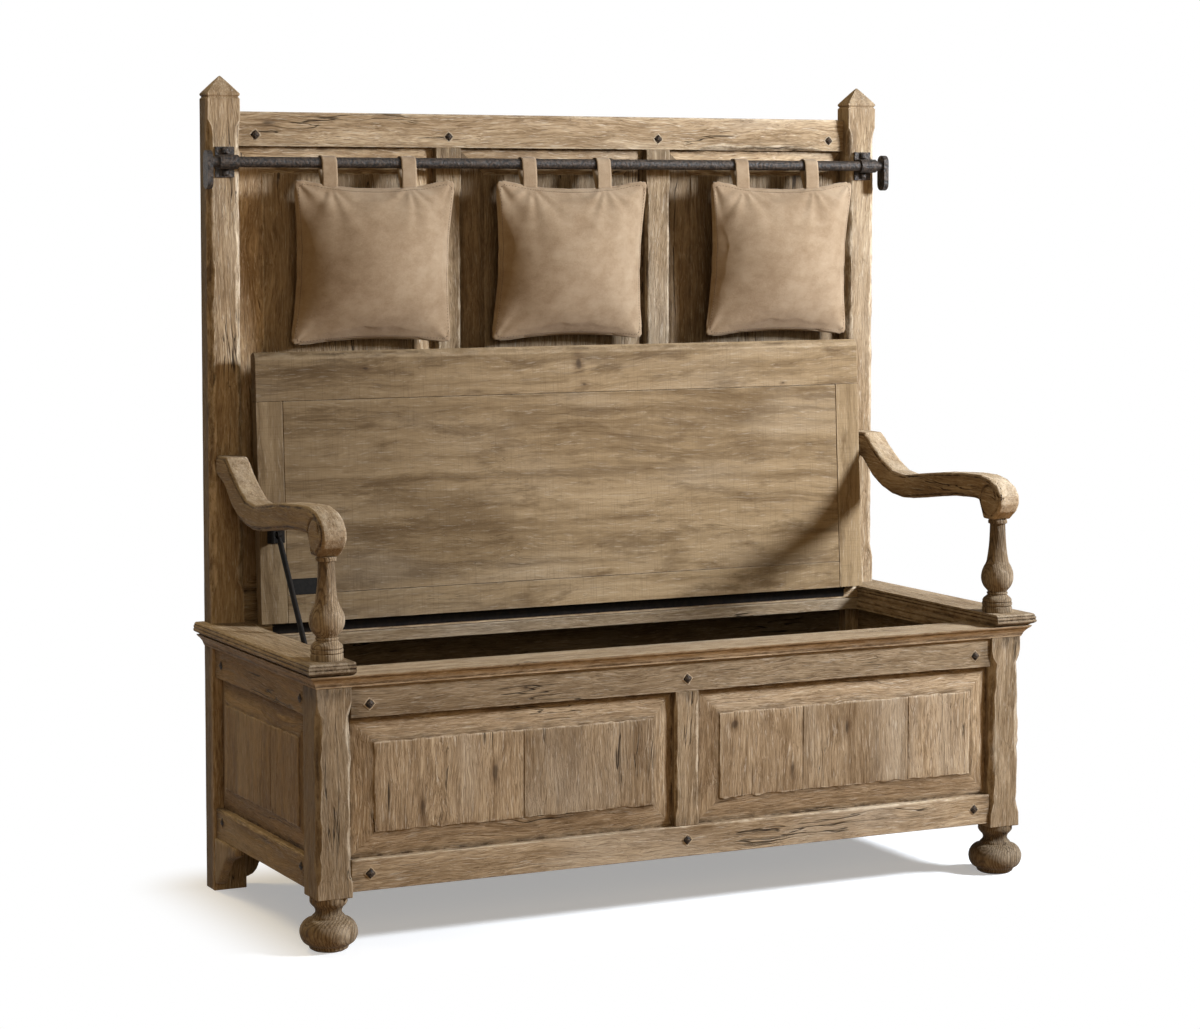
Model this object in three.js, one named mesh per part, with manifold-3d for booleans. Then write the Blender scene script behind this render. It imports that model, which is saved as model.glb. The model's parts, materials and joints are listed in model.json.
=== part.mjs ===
// A high-backed oak settle: a storage chest on bun feet with a hinged seat lid, scroll arms on
// turned balusters, a framed and panelled back between two tall posts, and three suede
// cushions hung by tabs from an iron rod. The lid stands open, held by a telescopic stay.
// Millimetres, +X to the right for someone who faces the bench, +Y to the back, +Z up.
// Lengths below are measured from the floor and from the front faces of the front posts.

import * as THREE from 'three';
import { mergeVertices } from 'three/addons/utils/BufferGeometryUtils.js';
import Module from 'manifold-3d';

const wasm = await Module();
wasm.setup();

// Overall size
const bench_width = 1372;
const bench_depth = 553;
const seat_height = 480;
const board_thickness = 22;
const joint_gap = 0.3;
const cut_overrun = 6;

// Posts and feet
const front_post_side = 62;
const back_post_width = 61;
const back_post_depth = 42;
const post_rise_over_rod = 152;
const bun_height = 88;
const bun_radius = 49;
const pyramid_height = 31;
const pyramid_lip = 3;
const pyramid_tip_share = 0.025;
const neck_groove_height = 6.4;
const neck_groove_depth = 2.5;
const post_arris = 1;
const post_chamfer = 8;
const chamfer_run = 14;
const back_chamfer_top_drop = 26;
const back_chamfer_bottom_rise = 52;
const front_chamfer_inset = 24;
const bracket_reach = 112;
const bracket_thickness = 18;

// Frame-and-panel work
const frame_recess = 5;
const frame_thickness = 28;
const chest_rail_width = 53;
const chest_lift = 8;
const chest_muntin_width = 46;
const back_frame_thickness = 24;
const back_rail_drop = 62;
const back_top_rail_width = 61;
const back_seat_rail_rise = 50;
const back_muntin_width = 50;
const panel_tongue = 6;
const panel_groove_depth = 9;
const chest_bevel_width = 42;
const chest_bevel_depth = 9;
const back_bevel_width = 47;
const back_bevel_depth = 9;
const field_step = 3;
const field_recess = 2;
const chest_back_thickness = 18;
const floor_thickness = 12;

// Seat boards, the moulded frame below them and the lid
const sill_thickness = 21;
const sill_overhang = 15;
const nose_overhang = 21;
const side_ledge = 10;
const front_ledge = 16;
const hinge_set_back = 92;
const back_ledge = 10;
const seat_board_gap = 1;
const lid_side_gap = 4.5;
const lid_lean_degrees = 3.13;
const lid_end_board_width = 50;
const lid_front_board_width = 87;
const lid_back_board_width = 50;

// Lid hinge
const hinge_barrel_radius = 4;
const hinge_pin_radius = 2;
const hinge_leaf_thickness = 1.2;
const hinge_leaf_height = 18;
const hinge_leaf_offset = 0.2;
const hinge_end_inset = 28.5;
const hinge_knuckle_count = 12;

// Telescopic stay
const stay_lid_reach = 160;
const stay_stand_off = 14;
const stay_inset = 30.5;
const stay_front_gap = 43;
const stay_floor_rise = 92;
const stay_tube_radius = 5;
const stay_tube_wall = 1.7;
const stay_tube_end = 290;
const stay_rod_radius = 2.7;
const stay_rod_overlap = 25;
const stay_eye_radius = 7;
const stay_eye_thickness = 6;
const stay_shank_length = 16;
const stay_shank_radius = 3.4;
const stay_end_wall = 6;
const stay_stud_radius = 3;
const stay_plate_thickness = 2.5;
const stay_plate_distance = 9;
const lid_plate_width = 32;
const lid_plate_height = 30;
const floor_bracket_width = 34;
const floor_bracket_foot = 26;

// Arms and balusters
const arm_thickness = 47;
const arm_back_height = 131;
const arm_scroll_overhang = 9;
const arm_arris = 5;
const baluster_height = 170;
const baluster_radius = 30.3;

// Iron rod and its fittings
const rod_radius = 9.5;
const rod_stand_off = 20;
const rod_overhang = 1;
const strap_length = 35;
const strap_plate_width = 33;
const strap_plate_height = 54;
const strap_plate_thickness = 4;
const strap_wall = 3;
const finial_thickness = 10;
const finial_depth = 26;
const finial_height = 68;
const finial_rise = 20.5;

// Cushions
const cushion_width = 316;
const cushion_height = 302;
const cushion_front_crown = 45;
const cushion_back_crown = 35;
const cushion_seam = 2.6;
const cushion_side_draw = 13;
const cushion_top_draw = 11;
const cushion_top_set_forward = 13;
const cushion_lean = 22;
const cushion_hang = 26.8;
const lid_cushion_gap = 7.5;
const tab_spacing = 153;
const tab_shift = -11;
const tab_width = 34;
const tab_thickness = 2.4;
const tab_sewn_depth = 7;
const tab_clearance = 0.5;

// Points of the turned, sawn and moulded outlines, as shares of the sizes they follow
const bun_outline_shares = [
  [0, 0], [0.57, 0], [0.66, 0.03], [0.69, 0.07], [0.7, 0.095], [0.8, 0.12], [0.9, 0.17],
  [0.97, 0.25], [1, 0.34], [0.97, 0.43], [0.89, 0.51], [0.76, 0.575], [0.63, 0.6],
  [0.58, 0.612], [0.57, 0.64], [0.49, 0.685], [0.46, 0.735], [0.5, 0.8], [0.6, 0.86],
  [0.645, 0.9], [0.65, 0.93], [0.65, 1], [0, 1],
];
const baluster_outline_shares = [
  [0, 0], [0.89, 0], [0.92, 0.012], [0.92, 0.06], [0.87, 0.07], [0.92, 0.08], [0.92, 0.11],
  [0.86, 0.145], [0.68, 0.178], [0.58, 0.21], [0.68, 0.242], [0.83, 0.275], [0.96, 0.325],
  [1, 0.375], [0.96, 0.435], [0.84, 0.49], [0.69, 0.545], [0.59, 0.65], [0.53, 0.76],
  [0.485, 0.94], [0.49, 0.95], [0.59, 0.958], [0.595, 0.98], [0.56, 0.998], [0.5, 1], [0, 1],
];
const arm_outline_shares = [
  [0, 1], [0.094, 0.992], [0.123, 0.916], [0.152, 0.817], [0.223, 0.626], [0.294, 0.489],
  [0.371, 0.45], [0.492, 0.511], [0.617, 0.565], [0.771, 0.603], [0.867, 0.607],
  [0.929, 0.557], [0.975, 0.466], [0.998, 0.344], [1, 0.229], [0.983, 0.115], [0.956, 0.04],
  [0.945, 0], [0.888, 0], [0.871, 0.168], [0.86, 0.255], [0.829, 0.267], [0.7, 0.252],
  [0.535, 0.176], [0.429, 0.122], [0.358, 0.111], [0.29, 0.145], [0.221, 0.221],
  [0.152, 0.366], [0.083, 0.603], [0, 0.74],
];
const bracket_outline_shares = [
  [0, 1], [0, 0.125], [0.1, 0.14], [0.2, 0.19], [0.265, 0.28], [0.3, 0.4], [0.4, 0.46],
  [0.43, 0.53], [0.49, 0.62], [0.6, 0.7], [0.8, 0.78], [1, 0.865], [1, 1],
];
const nose_outline_shares = [
  [0.76, 0], [0.93, 0.17], [1, 0.42], [1, 0.62], [0.43, 1],
];
const sill_outline_shares = [
  [0.06, 0], [0.13, 0.2], [0.36, 0.48], [0.72, 0.76], [0.9, 0.86], [1, 1],
];
const cushion_gap_shares = { left: 0.281, center: 0.255, right: 0.434 };
const cushion_grid_steps = 16;
const cushion_crown_power = 0.5;
const round_segments = 24;
const small_round_segments = 12;
const strap_arc_steps = 10;
const seam_arc_steps = 2;
const finial_arc_steps = 8;

// Places worked out from the sizes above
const half_width = bench_width / 2;
const mid_y = (bench_depth - nose_overhang) / 2;
const chest_bottom = bun_height + chest_lift;
const floor_top = chest_bottom + floor_thickness;
const sill_top = seat_height - board_thickness;
const sill_bottom = sill_top - sill_thickness;
const chest_rail_bottom = sill_bottom - chest_rail_width;
const chest_panel_bottom = chest_bottom + chest_rail_width;
const front_inner_x = half_width - front_post_side;
const back_inner_x = half_width - back_post_width;
const back_post_front = bench_depth - back_post_depth;
const back_frame_face = bench_depth - back_frame_thickness;
const rail_outer_x = half_width - frame_recess;
const rail_inner_x = rail_outer_x - frame_thickness;
const hinge_y = bench_depth - hinge_set_back;
const lid_length = hinge_y + nose_overhang;
const strip_front_y = hinge_y + hinge_leaf_offset + hinge_leaf_thickness + joint_gap;
const sill_front_inner_y = front_post_side + front_ledge;
const sill_back_inner_y = hinge_y - back_ledge;
const board_inner_x = front_inner_x - seat_board_gap;
const ledge_inner_x = board_inner_x - side_ledge;
const lid_thickness = board_thickness - joint_gap;
const lid_half_width = board_inner_x - lid_side_gap;
const rod_y = back_post_front - rod_stand_off;

// The open lid just clears the cushions, so the heights of the rod, posts and back follow it
const cushion_tilt = Math.atan2(cushion_lean, cushion_height);
const cushion_bottom_height = seat_height + lid_length + lid_cushion_gap;
const cushion_top_height = cushion_bottom_height + cushion_height * Math.cos(cushion_tilt);
const rod_height = cushion_top_height + cushion_hang;
const bench_height = rod_height + post_rise_over_rod;
const back_rail_top = bench_height - back_rail_drop;
const back_seat_rail_top = seat_height + back_seat_rail_rise;

const axis_x = new THREE.Vector3(1, 0, 0);
const axis_y = new THREE.Vector3(0, 1, 0);
const axis_z = new THREE.Vector3(0, 0, 1);

// The same shape with nothing but its corners, and with the shared ones joined
function welded_copy(geometry) {
  const bare = new THREE.BufferGeometry();
  bare.setAttribute('position', geometry.getAttribute('position').clone());
  if (geometry.index) {
    bare.setIndex(geometry.index.clone());
  }
  return mergeVertices(bare);
}

// A closed manifold solid from any closed geometry
function solid_of(geometry) {
  const welded = welded_copy(geometry);
  const corners = welded.index.array;
  const kept = [];
  for (let i = 0; i < corners.length; i += 3) {
    const [a, b, c] = [corners[i], corners[i + 1], corners[i + 2]];
    if (a !== b && b !== c && c !== a) {
      kept.push(a, b, c);
    }
  }
  return new wasm.Manifold(new wasm.Mesh({
    numProp: 3,
    vertProperties: new Float32Array(welded.getAttribute('position').array),
    triVerts: new Uint32Array(kept),
  }));
}

function geometry_of(solid) {
  const mesh = solid.getMesh();
  const geometry = new THREE.BufferGeometry();
  geometry.setAttribute('position', new THREE.BufferAttribute(mesh.vertProperties, mesh.numProp));
  geometry.setIndex(new THREE.BufferAttribute(mesh.triVerts, 1));
  return geometry;
}

function cut(geometry, ...tools) {
  const left = tools.reduce((body, tool) => body.subtract(solid_of(tool)), solid_of(geometry));
  return geometry_of(left);
}

function join(geometry, ...others) {
  const whole = others.reduce((body, other) => body.add(solid_of(other)), solid_of(geometry));
  return geometry_of(whole);
}

// A straight board or cutter between two opposite corners
function board(x0, x1, y0, y1, z0, z1) {
  const geometry = new THREE.BoxGeometry(x1 - x0, y1 - y0, z1 - z0);
  return geometry.translate((x0 + x1) / 2, (y0 + y1) / 2, (z0 + z1) / 2);
}

// An outline of [first, second] pairs pushed along an axis, from start over length
function extrude(outline, first, second, start, length, options = {}) {
  const shape = new THREE.Shape(outline.map(([a, b]) => new THREE.Vector2(a, b)));
  for (const hole of options.holes ?? []) {
    shape.holes.push(new THREE.Path(hole.map(([a, b]) => new THREE.Vector2(a, b))));
  }
  const settings = { depth: length, bevelEnabled: false, ...options.settings };
  const along = new THREE.Vector3().crossVectors(first, second);
  const geometry = new THREE.ExtrudeGeometry(shape, settings);
  geometry.applyMatrix4(new THREE.Matrix4().makeBasis(first, second, along));
  return geometry.translate(along.x * start, along.y * start, along.z * start);
}

function extrude_along_x(outline, start, length, options) {
  return extrude(outline, axis_y, axis_z, start, length, options);
}

function extrude_along_z(outline, start, length, options) {
  return extrude(outline, axis_x, axis_y, start, length, options);
}

// A turned piece standing on its base, from shares of its radius and height
function turned(outline_shares, radius, height, segments) {
  const profile = outline_shares.map(([r, h]) => new THREE.Vector2(r * radius, h * height));
  return new THREE.LatheGeometry(profile, segments).rotateX(Math.PI / 2);
}

function cylinder_along_x(radius, x0, x1, segments) {
  const geometry = new THREE.CylinderGeometry(radius, radius, x1 - x0, segments);
  return geometry.rotateZ(Math.PI / 2).translate((x0 + x1) / 2, 0, 0);
}

// A closed solid through equal rings of points; the first ring is the lower end
function loft(rings) {
  const count = rings[0].length;
  const points = rings.flat();
  const index = [];
  for (let level = 0; level + 1 < rings.length; level += 1) {
    for (let i = 0; i < count; i += 1) {
      const a = level * count + i;
      const b = level * count + ((i + 1) % count);
      index.push(a, b, b + count, a, b + count, a + count);
    }
  }
  const normal = new THREE.Vector3();
  rings[0].forEach((point, i) => {
    const next = rings[0][(i + 1) % count];
    normal.add(new THREE.Vector3().crossVectors(point, next));
  });
  normal.normalize();
  const side = new THREE.Vector3().subVectors(rings[0][1], rings[0][0]).normalize();
  const across = new THREE.Vector3().crossVectors(normal, side);
  const flat = (ring) => ring.map((p) => new THREE.Vector2(p.dot(side), p.dot(across)));
  const last = (rings.length - 1) * count;
  for (const [a, b, c] of THREE.ShapeUtils.triangulateShape(flat(rings[0]), [])) {
    index.push(a, c, b);
  }
  for (const [a, b, c] of THREE.ShapeUtils.triangulateShape(flat(rings.at(-1)), [])) {
    index.push(last + a, last + b, last + c);
  }
  const geometry = new THREE.BufferGeometry();
  const values = points.flatMap((p) => [p.x, p.y, p.z]);
  geometry.setAttribute('position', new THREE.Float32BufferAttribute(values, 3));
  geometry.setIndex(index);
  return geometry;
}

// The same piece for the other side of the bench
function mirrored(geometry) {
  const copy = welded_copy(geometry).scale(-1, 1, 1);
  const corners = copy.index.array;
  for (let i = 0; i < corners.length; i += 3) {
    [corners[i], corners[i + 1]] = [corners[i + 1], corners[i]];
  }
  return copy;
}

const finishes = {
  oak: () => new THREE.MeshStandardMaterial({ color: 0x9c8767, roughness: 0.75, metalness: 0 }),
  panel: () => new THREE.MeshStandardMaterial({ color: 0x8f7a5b, roughness: 0.8, metalness: 0 }),
  lid: () => new THREE.MeshStandardMaterial({ color: 0x94805f, roughness: 0.6, metalness: 0 }),
  iron: () => new THREE.MeshStandardMaterial({ color: 0x4c443e, roughness: 0.6, metalness: 0.8 }),
  steel: () => new THREE.MeshStandardMaterial({ color: 0x2b2927, roughness: 0.45, metalness: 0.9 }),
  suede: () => new THREE.MeshStandardMaterial({ color: 0xab967a, roughness: 0.95, metalness: 0 }),
};

const settle = new THREE.Group();
const bench = new THREE.Group();
bench.position.y = -mid_y;
settle.add(bench);

function add(name, geometry, finish, group = bench) {
  const mesh = new THREE.Mesh(geometry, finishes[finish]());
  mesh.name = name;
  group.add(mesh);
}

// Adds a piece made for the left side, and its mirror image on the right
function add_pair(name, geometry, finish) {
  add(`${name}_left`, geometry, finish);
  add(`${name}_right`, mirrored(geometry), finish);
}

// One level of a square post: its two front corners are chamfered, its back ones only eased
function post_ring(x0, x1, y0, y1, z, chamfer, inset) {
  const [left, right] = [x0 + inset, x1 - inset];
  const [front, back] = [y0 + inset, y1 - inset];
  const eased = Math.min(post_arris, (right - left) / 4, (back - front) / 4);
  const corner = Math.max(eased, Math.min(chamfer, (right - left) / 4, (back - front) / 4));
  return [
    [left + corner, front], [right - corner, front], [right, front + corner],
    [right, back - eased], [right - eased, back], [left + eased, back],
    [left, back - eased], [left, front + corner],
  ].map(([x, y]) => new THREE.Vector3(x, y, z));
}

// The back posts run from the floor to a pyramid above a grooved neck
const pyramid_base = bench_height - pyramid_height;
const lip_bottom = pyramid_base - pyramid_lip;
const shaft_top = lip_bottom - neck_groove_height;
const back_chamfer_top = shaft_top - back_chamfer_top_drop;
const back_chamfer_bottom = seat_height + back_chamfer_bottom_rise;

function back_post() {
  const x0 = -half_width;
  const x1 = -back_inner_x;
  const ring = (z, chamfer, inset) => (
    post_ring(x0, x1, back_post_front, bench_depth, z, chamfer, inset)
  );
  const tip = ring(bench_height, post_arris, 0);
  const middle_x = (x0 + x1) / 2;
  const middle_y = (back_post_front + bench_depth) / 2;
  for (const point of tip) {
    point.x = middle_x + (point.x - middle_x) * pyramid_tip_share;
    point.y = middle_y + (point.y - middle_y) * pyramid_tip_share;
  }
  return loft([
    ring(0, post_arris, 0),
    ring(back_chamfer_bottom, post_arris, 0),
    ring(back_chamfer_bottom + chamfer_run, post_chamfer, 0),
    ring(back_chamfer_top - chamfer_run, post_chamfer, 0),
    ring(back_chamfer_top, post_arris, 0),
    ring(shaft_top, post_arris, 0),
    ring(shaft_top + neck_groove_height / 2, post_arris, neck_groove_depth),
    ring(lip_bottom, post_arris, 0),
    ring(pyramid_base, post_arris, 0),
    tip,
  ]);
}

// Grooves hold the thin edges of the panels with a small gap on each side
const groove_half = panel_tongue / 2 + joint_gap;
const tongue_reach = panel_groove_depth - joint_gap;
const chest_tongue_y = frame_recess + field_recess + field_step + chest_bevel_depth
  + panel_tongue / 2;
const side_tongue_x = half_width - chest_tongue_y;
const back_tongue_y = back_frame_face + field_recess + field_step + back_bevel_depth
  + panel_tongue / 2;

function back_panel_groove(x0, x1, z0, z1) {
  return board(x0, x1, back_tongue_y - groove_half, back_tongue_y + groove_half, z0, z1);
}

function front_panel_groove(x0, x1, z0, z1) {
  return board(x0, x1, chest_tongue_y - groove_half, chest_tongue_y + groove_half, z0, z1);
}

function side_panel_groove(y0, y1, z0, z1) {
  return board(-side_tongue_x - groove_half, -side_tongue_x + groove_half, y0, y1, z0, z1);
}

const chest_groove_bottom = chest_panel_bottom - panel_groove_depth;
const chest_groove_top = chest_rail_bottom + panel_groove_depth;
const back_groove_bottom = back_seat_rail_top - panel_groove_depth;
const back_groove_top = back_rail_top - back_top_rail_width + panel_groove_depth;

add_pair('back_post', cut(
  back_post(),
  back_panel_groove(
    -back_inner_x - panel_groove_depth,
    -back_inner_x + cut_overrun,
    back_groove_bottom,
    back_groove_top,
  ),
  side_panel_groove(
    back_post_front - cut_overrun,
    back_post_front + panel_groove_depth,
    chest_groove_bottom,
    chest_groove_top,
  ),
), 'oak');

// The front posts stand on the bun feet and carry the moulded sill
function front_post() {
  const ring = (z, chamfer) => (
    post_ring(-half_width, -front_inner_x, 0, front_post_side, z, chamfer, 0)
  );
  const low = bun_height + front_chamfer_inset;
  const high = sill_bottom - front_chamfer_inset;
  return loft([
    ring(bun_height, post_arris),
    ring(low, post_arris),
    ring(low + chamfer_run, post_chamfer),
    ring(high - chamfer_run, post_chamfer),
    ring(high, post_arris),
    ring(sill_bottom, post_arris),
  ]);
}

add_pair('front_post', cut(
  front_post(),
  front_panel_groove(
    -front_inner_x - panel_groove_depth,
    -front_inner_x + cut_overrun,
    chest_groove_bottom,
    chest_groove_top,
  ),
  side_panel_groove(
    front_post_side - panel_groove_depth,
    front_post_side + cut_overrun,
    chest_groove_bottom,
    chest_groove_top,
  ),
), 'oak');

const front_post_centre_x = half_width - front_post_side / 2;
const front_post_centre_y = front_post_side / 2;
add_pair('bun_foot', turned(bun_outline_shares, bun_radius, bun_height, round_segments)
  .translate(-front_post_centre_x, front_post_centre_y, 0), 'oak');

// Sawn brackets brace each back post below the chest, one under the side, one at the back
function bracket_outline() {
  return bracket_outline_shares.map(([reach, height]) => (
    [reach * bracket_reach, height * chest_bottom]
  ));
}

const side_bracket_outline = bracket_outline()
  .map(([reach, height]) => [back_post_front - reach, height]);
add_pair('side_bracket', extrude_along_x(
  side_bracket_outline,
  -half_width,
  bracket_thickness,
), 'oak');
const back_bracket_outline = bracket_outline()
  .map(([reach, height]) => [-back_inner_x + reach, height]);
add_pair('back_bracket', extrude(
  back_bracket_outline,
  axis_x,
  axis_z,
  -bench_depth,
  bracket_thickness,
), 'oak');

// Chest front: two rails and a muntin, grooved for two raised panels
const frame_back_y = frame_recess + frame_thickness;
add('front_top_rail', cut(
  board(-front_inner_x, front_inner_x, frame_recess, frame_back_y, chest_rail_bottom, sill_bottom),
  front_panel_groove(
    -front_inner_x - cut_overrun,
    front_inner_x + cut_overrun,
    chest_rail_bottom - cut_overrun,
    chest_groove_top,
  ),
), 'oak');
add('front_bottom_rail', cut(
  board(
    -front_inner_x,
    front_inner_x,
    frame_recess,
    frame_back_y,
    chest_bottom,
    chest_panel_bottom,
  ),
  front_panel_groove(
    -front_inner_x - cut_overrun,
    front_inner_x + cut_overrun,
    chest_groove_bottom,
    chest_panel_bottom + cut_overrun,
  ),
), 'oak');
const chest_muntin_half = chest_muntin_width / 2;
const muntin_tenon = panel_groove_depth - joint_gap;
const muntin_tenon_board = board(
  -chest_muntin_half,
  chest_muntin_half,
  chest_tongue_y - panel_tongue / 2,
  chest_tongue_y + panel_tongue / 2,
  chest_panel_bottom - muntin_tenon,
  chest_rail_bottom + muntin_tenon,
);
add('front_muntin', cut(
  join(
    board(
      -chest_muntin_half,
      chest_muntin_half,
      frame_recess,
      frame_back_y,
      chest_panel_bottom,
      chest_rail_bottom,
    ),
    muntin_tenon_board,
  ),
  front_panel_groove(
    -chest_muntin_half - cut_overrun,
    -chest_muntin_half + panel_groove_depth,
    chest_groove_bottom - cut_overrun,
    chest_groove_top + cut_overrun,
  ),
  front_panel_groove(
    chest_muntin_half - panel_groove_depth,
    chest_muntin_half + cut_overrun,
    chest_groove_bottom - cut_overrun,
    chest_groove_top + cut_overrun,
  ),
), 'oak');

// A raised panel for one opening: tongue, sloping bevel, small step and flat field.
// The opening is u0..u1 by v0..v1 and point() takes those and a height towards the viewer.
function raised_panel(u0, u1, v0, v1, bevel_width, bevel_depth, point) {
  const rectangle = (inset, height) => [
    [u0 + inset, v0 + inset], [u1 - inset, v0 + inset],
    [u1 - inset, v1 - inset], [u0 + inset, v1 - inset],
  ].map(([u, v]) => point(u, v, height));
  const shoulder = panel_tongue;
  const slope_top = shoulder + bevel_depth;
  return loft([
    rectangle(-tongue_reach, 0),
    rectangle(-tongue_reach, shoulder),
    rectangle(joint_gap, shoulder),
    rectangle(bevel_width, slope_top),
    rectangle(bevel_width + joint_gap, slope_top + field_step),
  ]);
}

const chest_panel_back = chest_tongue_y + panel_tongue / 2;
const front_panel_point = (u, v, height) => new THREE.Vector3(u, chest_panel_back - height, v);
add_pair('front_panel', raised_panel(
  -front_inner_x,
  -chest_muntin_half,
  chest_panel_bottom,
  chest_rail_bottom,
  chest_bevel_width,
  chest_bevel_depth,
  front_panel_point,
), 'panel');

// Chest sides: two rails and one panel between the front and back posts
add_pair('side_top_rail', cut(
  board(
    -rail_outer_x,
    -rail_inner_x,
    front_post_side,
    back_post_front,
    chest_rail_bottom,
    sill_bottom,
  ),
  side_panel_groove(
    front_post_side - cut_overrun,
    back_post_front + cut_overrun,
    chest_rail_bottom - cut_overrun,
    chest_groove_top,
  ),
), 'oak');
add_pair('side_bottom_rail', cut(
  board(
    -rail_outer_x,
    -rail_inner_x,
    front_post_side,
    back_post_front,
    chest_bottom,
    chest_panel_bottom,
  ),
  side_panel_groove(
    front_post_side - cut_overrun,
    back_post_front + cut_overrun,
    chest_groove_bottom,
    chest_panel_bottom + cut_overrun,
  ),
), 'oak');
const side_panel_back = side_tongue_x - panel_tongue / 2;
const side_panel_point = (u, v, height) => new THREE.Vector3(-side_panel_back - height, -u, v);
add_pair('side_panel', raised_panel(
  -back_post_front,
  -front_post_side,
  chest_panel_bottom,
  chest_rail_bottom,
  chest_bevel_width,
  chest_bevel_depth,
  side_panel_point,
), 'panel');

// Chest back and floor
add('chest_back_board', board(
  -back_inner_x,
  back_inner_x,
  bench_depth - chest_back_thickness,
  bench_depth,
  chest_bottom,
  sill_bottom,
), 'oak');
const floor_side_x = rail_inner_x - joint_gap;
const floor_notch_x = front_inner_x - joint_gap;
const floor_back_x = back_inner_x - joint_gap;
const floor_front_y = frame_back_y + joint_gap;
const floor_post_y = front_post_side + joint_gap;
const floor_back_post_y = back_post_front - joint_gap;
const floor_back_y = bench_depth - chest_back_thickness - joint_gap;
const floor_half_outline = [
  [floor_notch_x, floor_front_y], [floor_notch_x, floor_post_y], [floor_side_x, floor_post_y],
  [floor_side_x, floor_back_post_y], [floor_back_x, floor_back_post_y],
  [floor_back_x, floor_back_y],
];
const floor_outline = [
  ...floor_half_outline,
  ...floor_half_outline.map(([x, y]) => [-x, y]).reverse(),
];
add('chest_floor', extrude_along_z(floor_outline, chest_bottom, floor_thickness), 'panel');

// A flat board whose outer edges follow a moulding: every level repeats the same plan
// outline, pushed out by the moulding's overhang at that level
function moulded_board(bottom, thickness, overhang, outline_shares, plan) {
  return loft(outline_shares.map(([reach, rise]) => (
    plan(reach * overhang).map(([x, y]) => new THREE.Vector3(x, y, bottom + rise * thickness))
  )));
}

// The sill is a frame of four boards that carries the seat boards and catches the lid; its
// outer edge is the cove moulding under the seat
add('sill_front', moulded_board(
  sill_bottom,
  sill_thickness,
  sill_overhang,
  sill_outline_shares,
  (reach) => [
    [-half_width - reach, -reach], [half_width + reach, -reach],
    [half_width + reach, sill_front_inner_y], [-half_width - reach, sill_front_inner_y],
  ],
), 'oak');
const side_sill_start = sill_front_inner_y + joint_gap;
const side_sill_corner = sill_back_inner_y - joint_gap;
add_pair('sill_side', moulded_board(
  sill_bottom,
  sill_thickness,
  sill_overhang,
  sill_outline_shares,
  (reach) => [
    [-half_width - reach, side_sill_start], [-ledge_inner_x, side_sill_start],
    [-ledge_inner_x, side_sill_corner], [-back_inner_x - joint_gap, side_sill_corner],
    [-back_inner_x - joint_gap, back_post_front - joint_gap],
    [-half_width - joint_gap, back_post_front - joint_gap],
    [-half_width - joint_gap, bench_depth], [-half_width - reach, bench_depth],
  ],
), 'oak');
add('sill_back', board(
  -back_inner_x,
  back_inner_x,
  sill_back_inner_y,
  bench_depth,
  sill_bottom,
  sill_top,
), 'oak');

// Seat boards at each side, notched round the back posts, and the strip behind the lid
const nose_levels = nose_outline_shares.map(([reach, drop]) => [reach, 1 - drop]).reverse();
add_pair('seat_board', moulded_board(
  sill_top,
  board_thickness,
  nose_overhang,
  nose_levels,
  (reach) => [
    [-half_width - reach, -reach], [-board_inner_x, -reach],
    [-board_inner_x, back_post_front - joint_gap],
    [-half_width - joint_gap, back_post_front - joint_gap],
    [-half_width - joint_gap, bench_depth], [-half_width - reach, bench_depth],
  ],
), 'oak');
const barrel_room = hinge_barrel_radius + joint_gap;
const barrel_chamfer = barrel_room * Math.SQRT2 - (strip_front_y - hinge_y);
add('seat_back_strip', extrude_along_x([
  [strip_front_y, sill_top], [back_frame_face, sill_top], [back_frame_face, seat_height],
  [strip_front_y + barrel_chamfer, seat_height], [strip_front_y, seat_height - barrel_chamfer],
], -board_inner_x + joint_gap, 2 * (board_inner_x - joint_gap)), 'oak');

// Panelled back: top rail, seat rail, two muntins and three raised panels
const back_top_rail_bottom = back_rail_top - back_top_rail_width;
add('back_top_rail', cut(
  board(
    -back_inner_x,
    back_inner_x,
    back_frame_face,
    bench_depth,
    back_top_rail_bottom,
    back_rail_top,
  ),
  back_panel_groove(
    -back_inner_x - cut_overrun,
    back_inner_x + cut_overrun,
    back_top_rail_bottom - cut_overrun,
    back_groove_top,
  ),
), 'oak');
add('back_seat_rail', cut(
  board(-back_inner_x, back_inner_x, back_frame_face, bench_depth, sill_top, back_seat_rail_top),
  back_panel_groove(
    -back_inner_x - cut_overrun,
    back_inner_x + cut_overrun,
    back_groove_bottom,
    back_seat_rail_top + cut_overrun,
  ),
), 'oak');
const back_bay_width = (2 * back_inner_x - 2 * back_muntin_width) / 3;
const back_muntin_outer = back_inner_x - back_bay_width;
const back_muntin_inner = back_muntin_outer - back_muntin_width;
add_pair('back_muntin', cut(
  join(
    board(
      -back_muntin_outer,
      -back_muntin_inner,
      back_frame_face,
      bench_depth,
      back_seat_rail_top,
      back_top_rail_bottom,
    ),
    board(
      -back_muntin_outer,
      -back_muntin_inner,
      back_tongue_y - panel_tongue / 2,
      back_tongue_y + panel_tongue / 2,
      back_seat_rail_top - muntin_tenon,
      back_top_rail_bottom + muntin_tenon,
    ),
  ),
  back_panel_groove(
    -back_muntin_outer - cut_overrun,
    -back_muntin_outer + panel_groove_depth,
    back_groove_bottom - cut_overrun,
    back_groove_top + cut_overrun,
  ),
  back_panel_groove(
    -back_muntin_inner - panel_groove_depth,
    -back_muntin_inner + cut_overrun,
    back_groove_bottom - cut_overrun,
    back_groove_top + cut_overrun,
  ),
), 'oak');
const back_panel_back = back_tongue_y + panel_tongue / 2;
const back_panel_point = (u, v, height) => new THREE.Vector3(u, back_panel_back - height, v);

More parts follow.
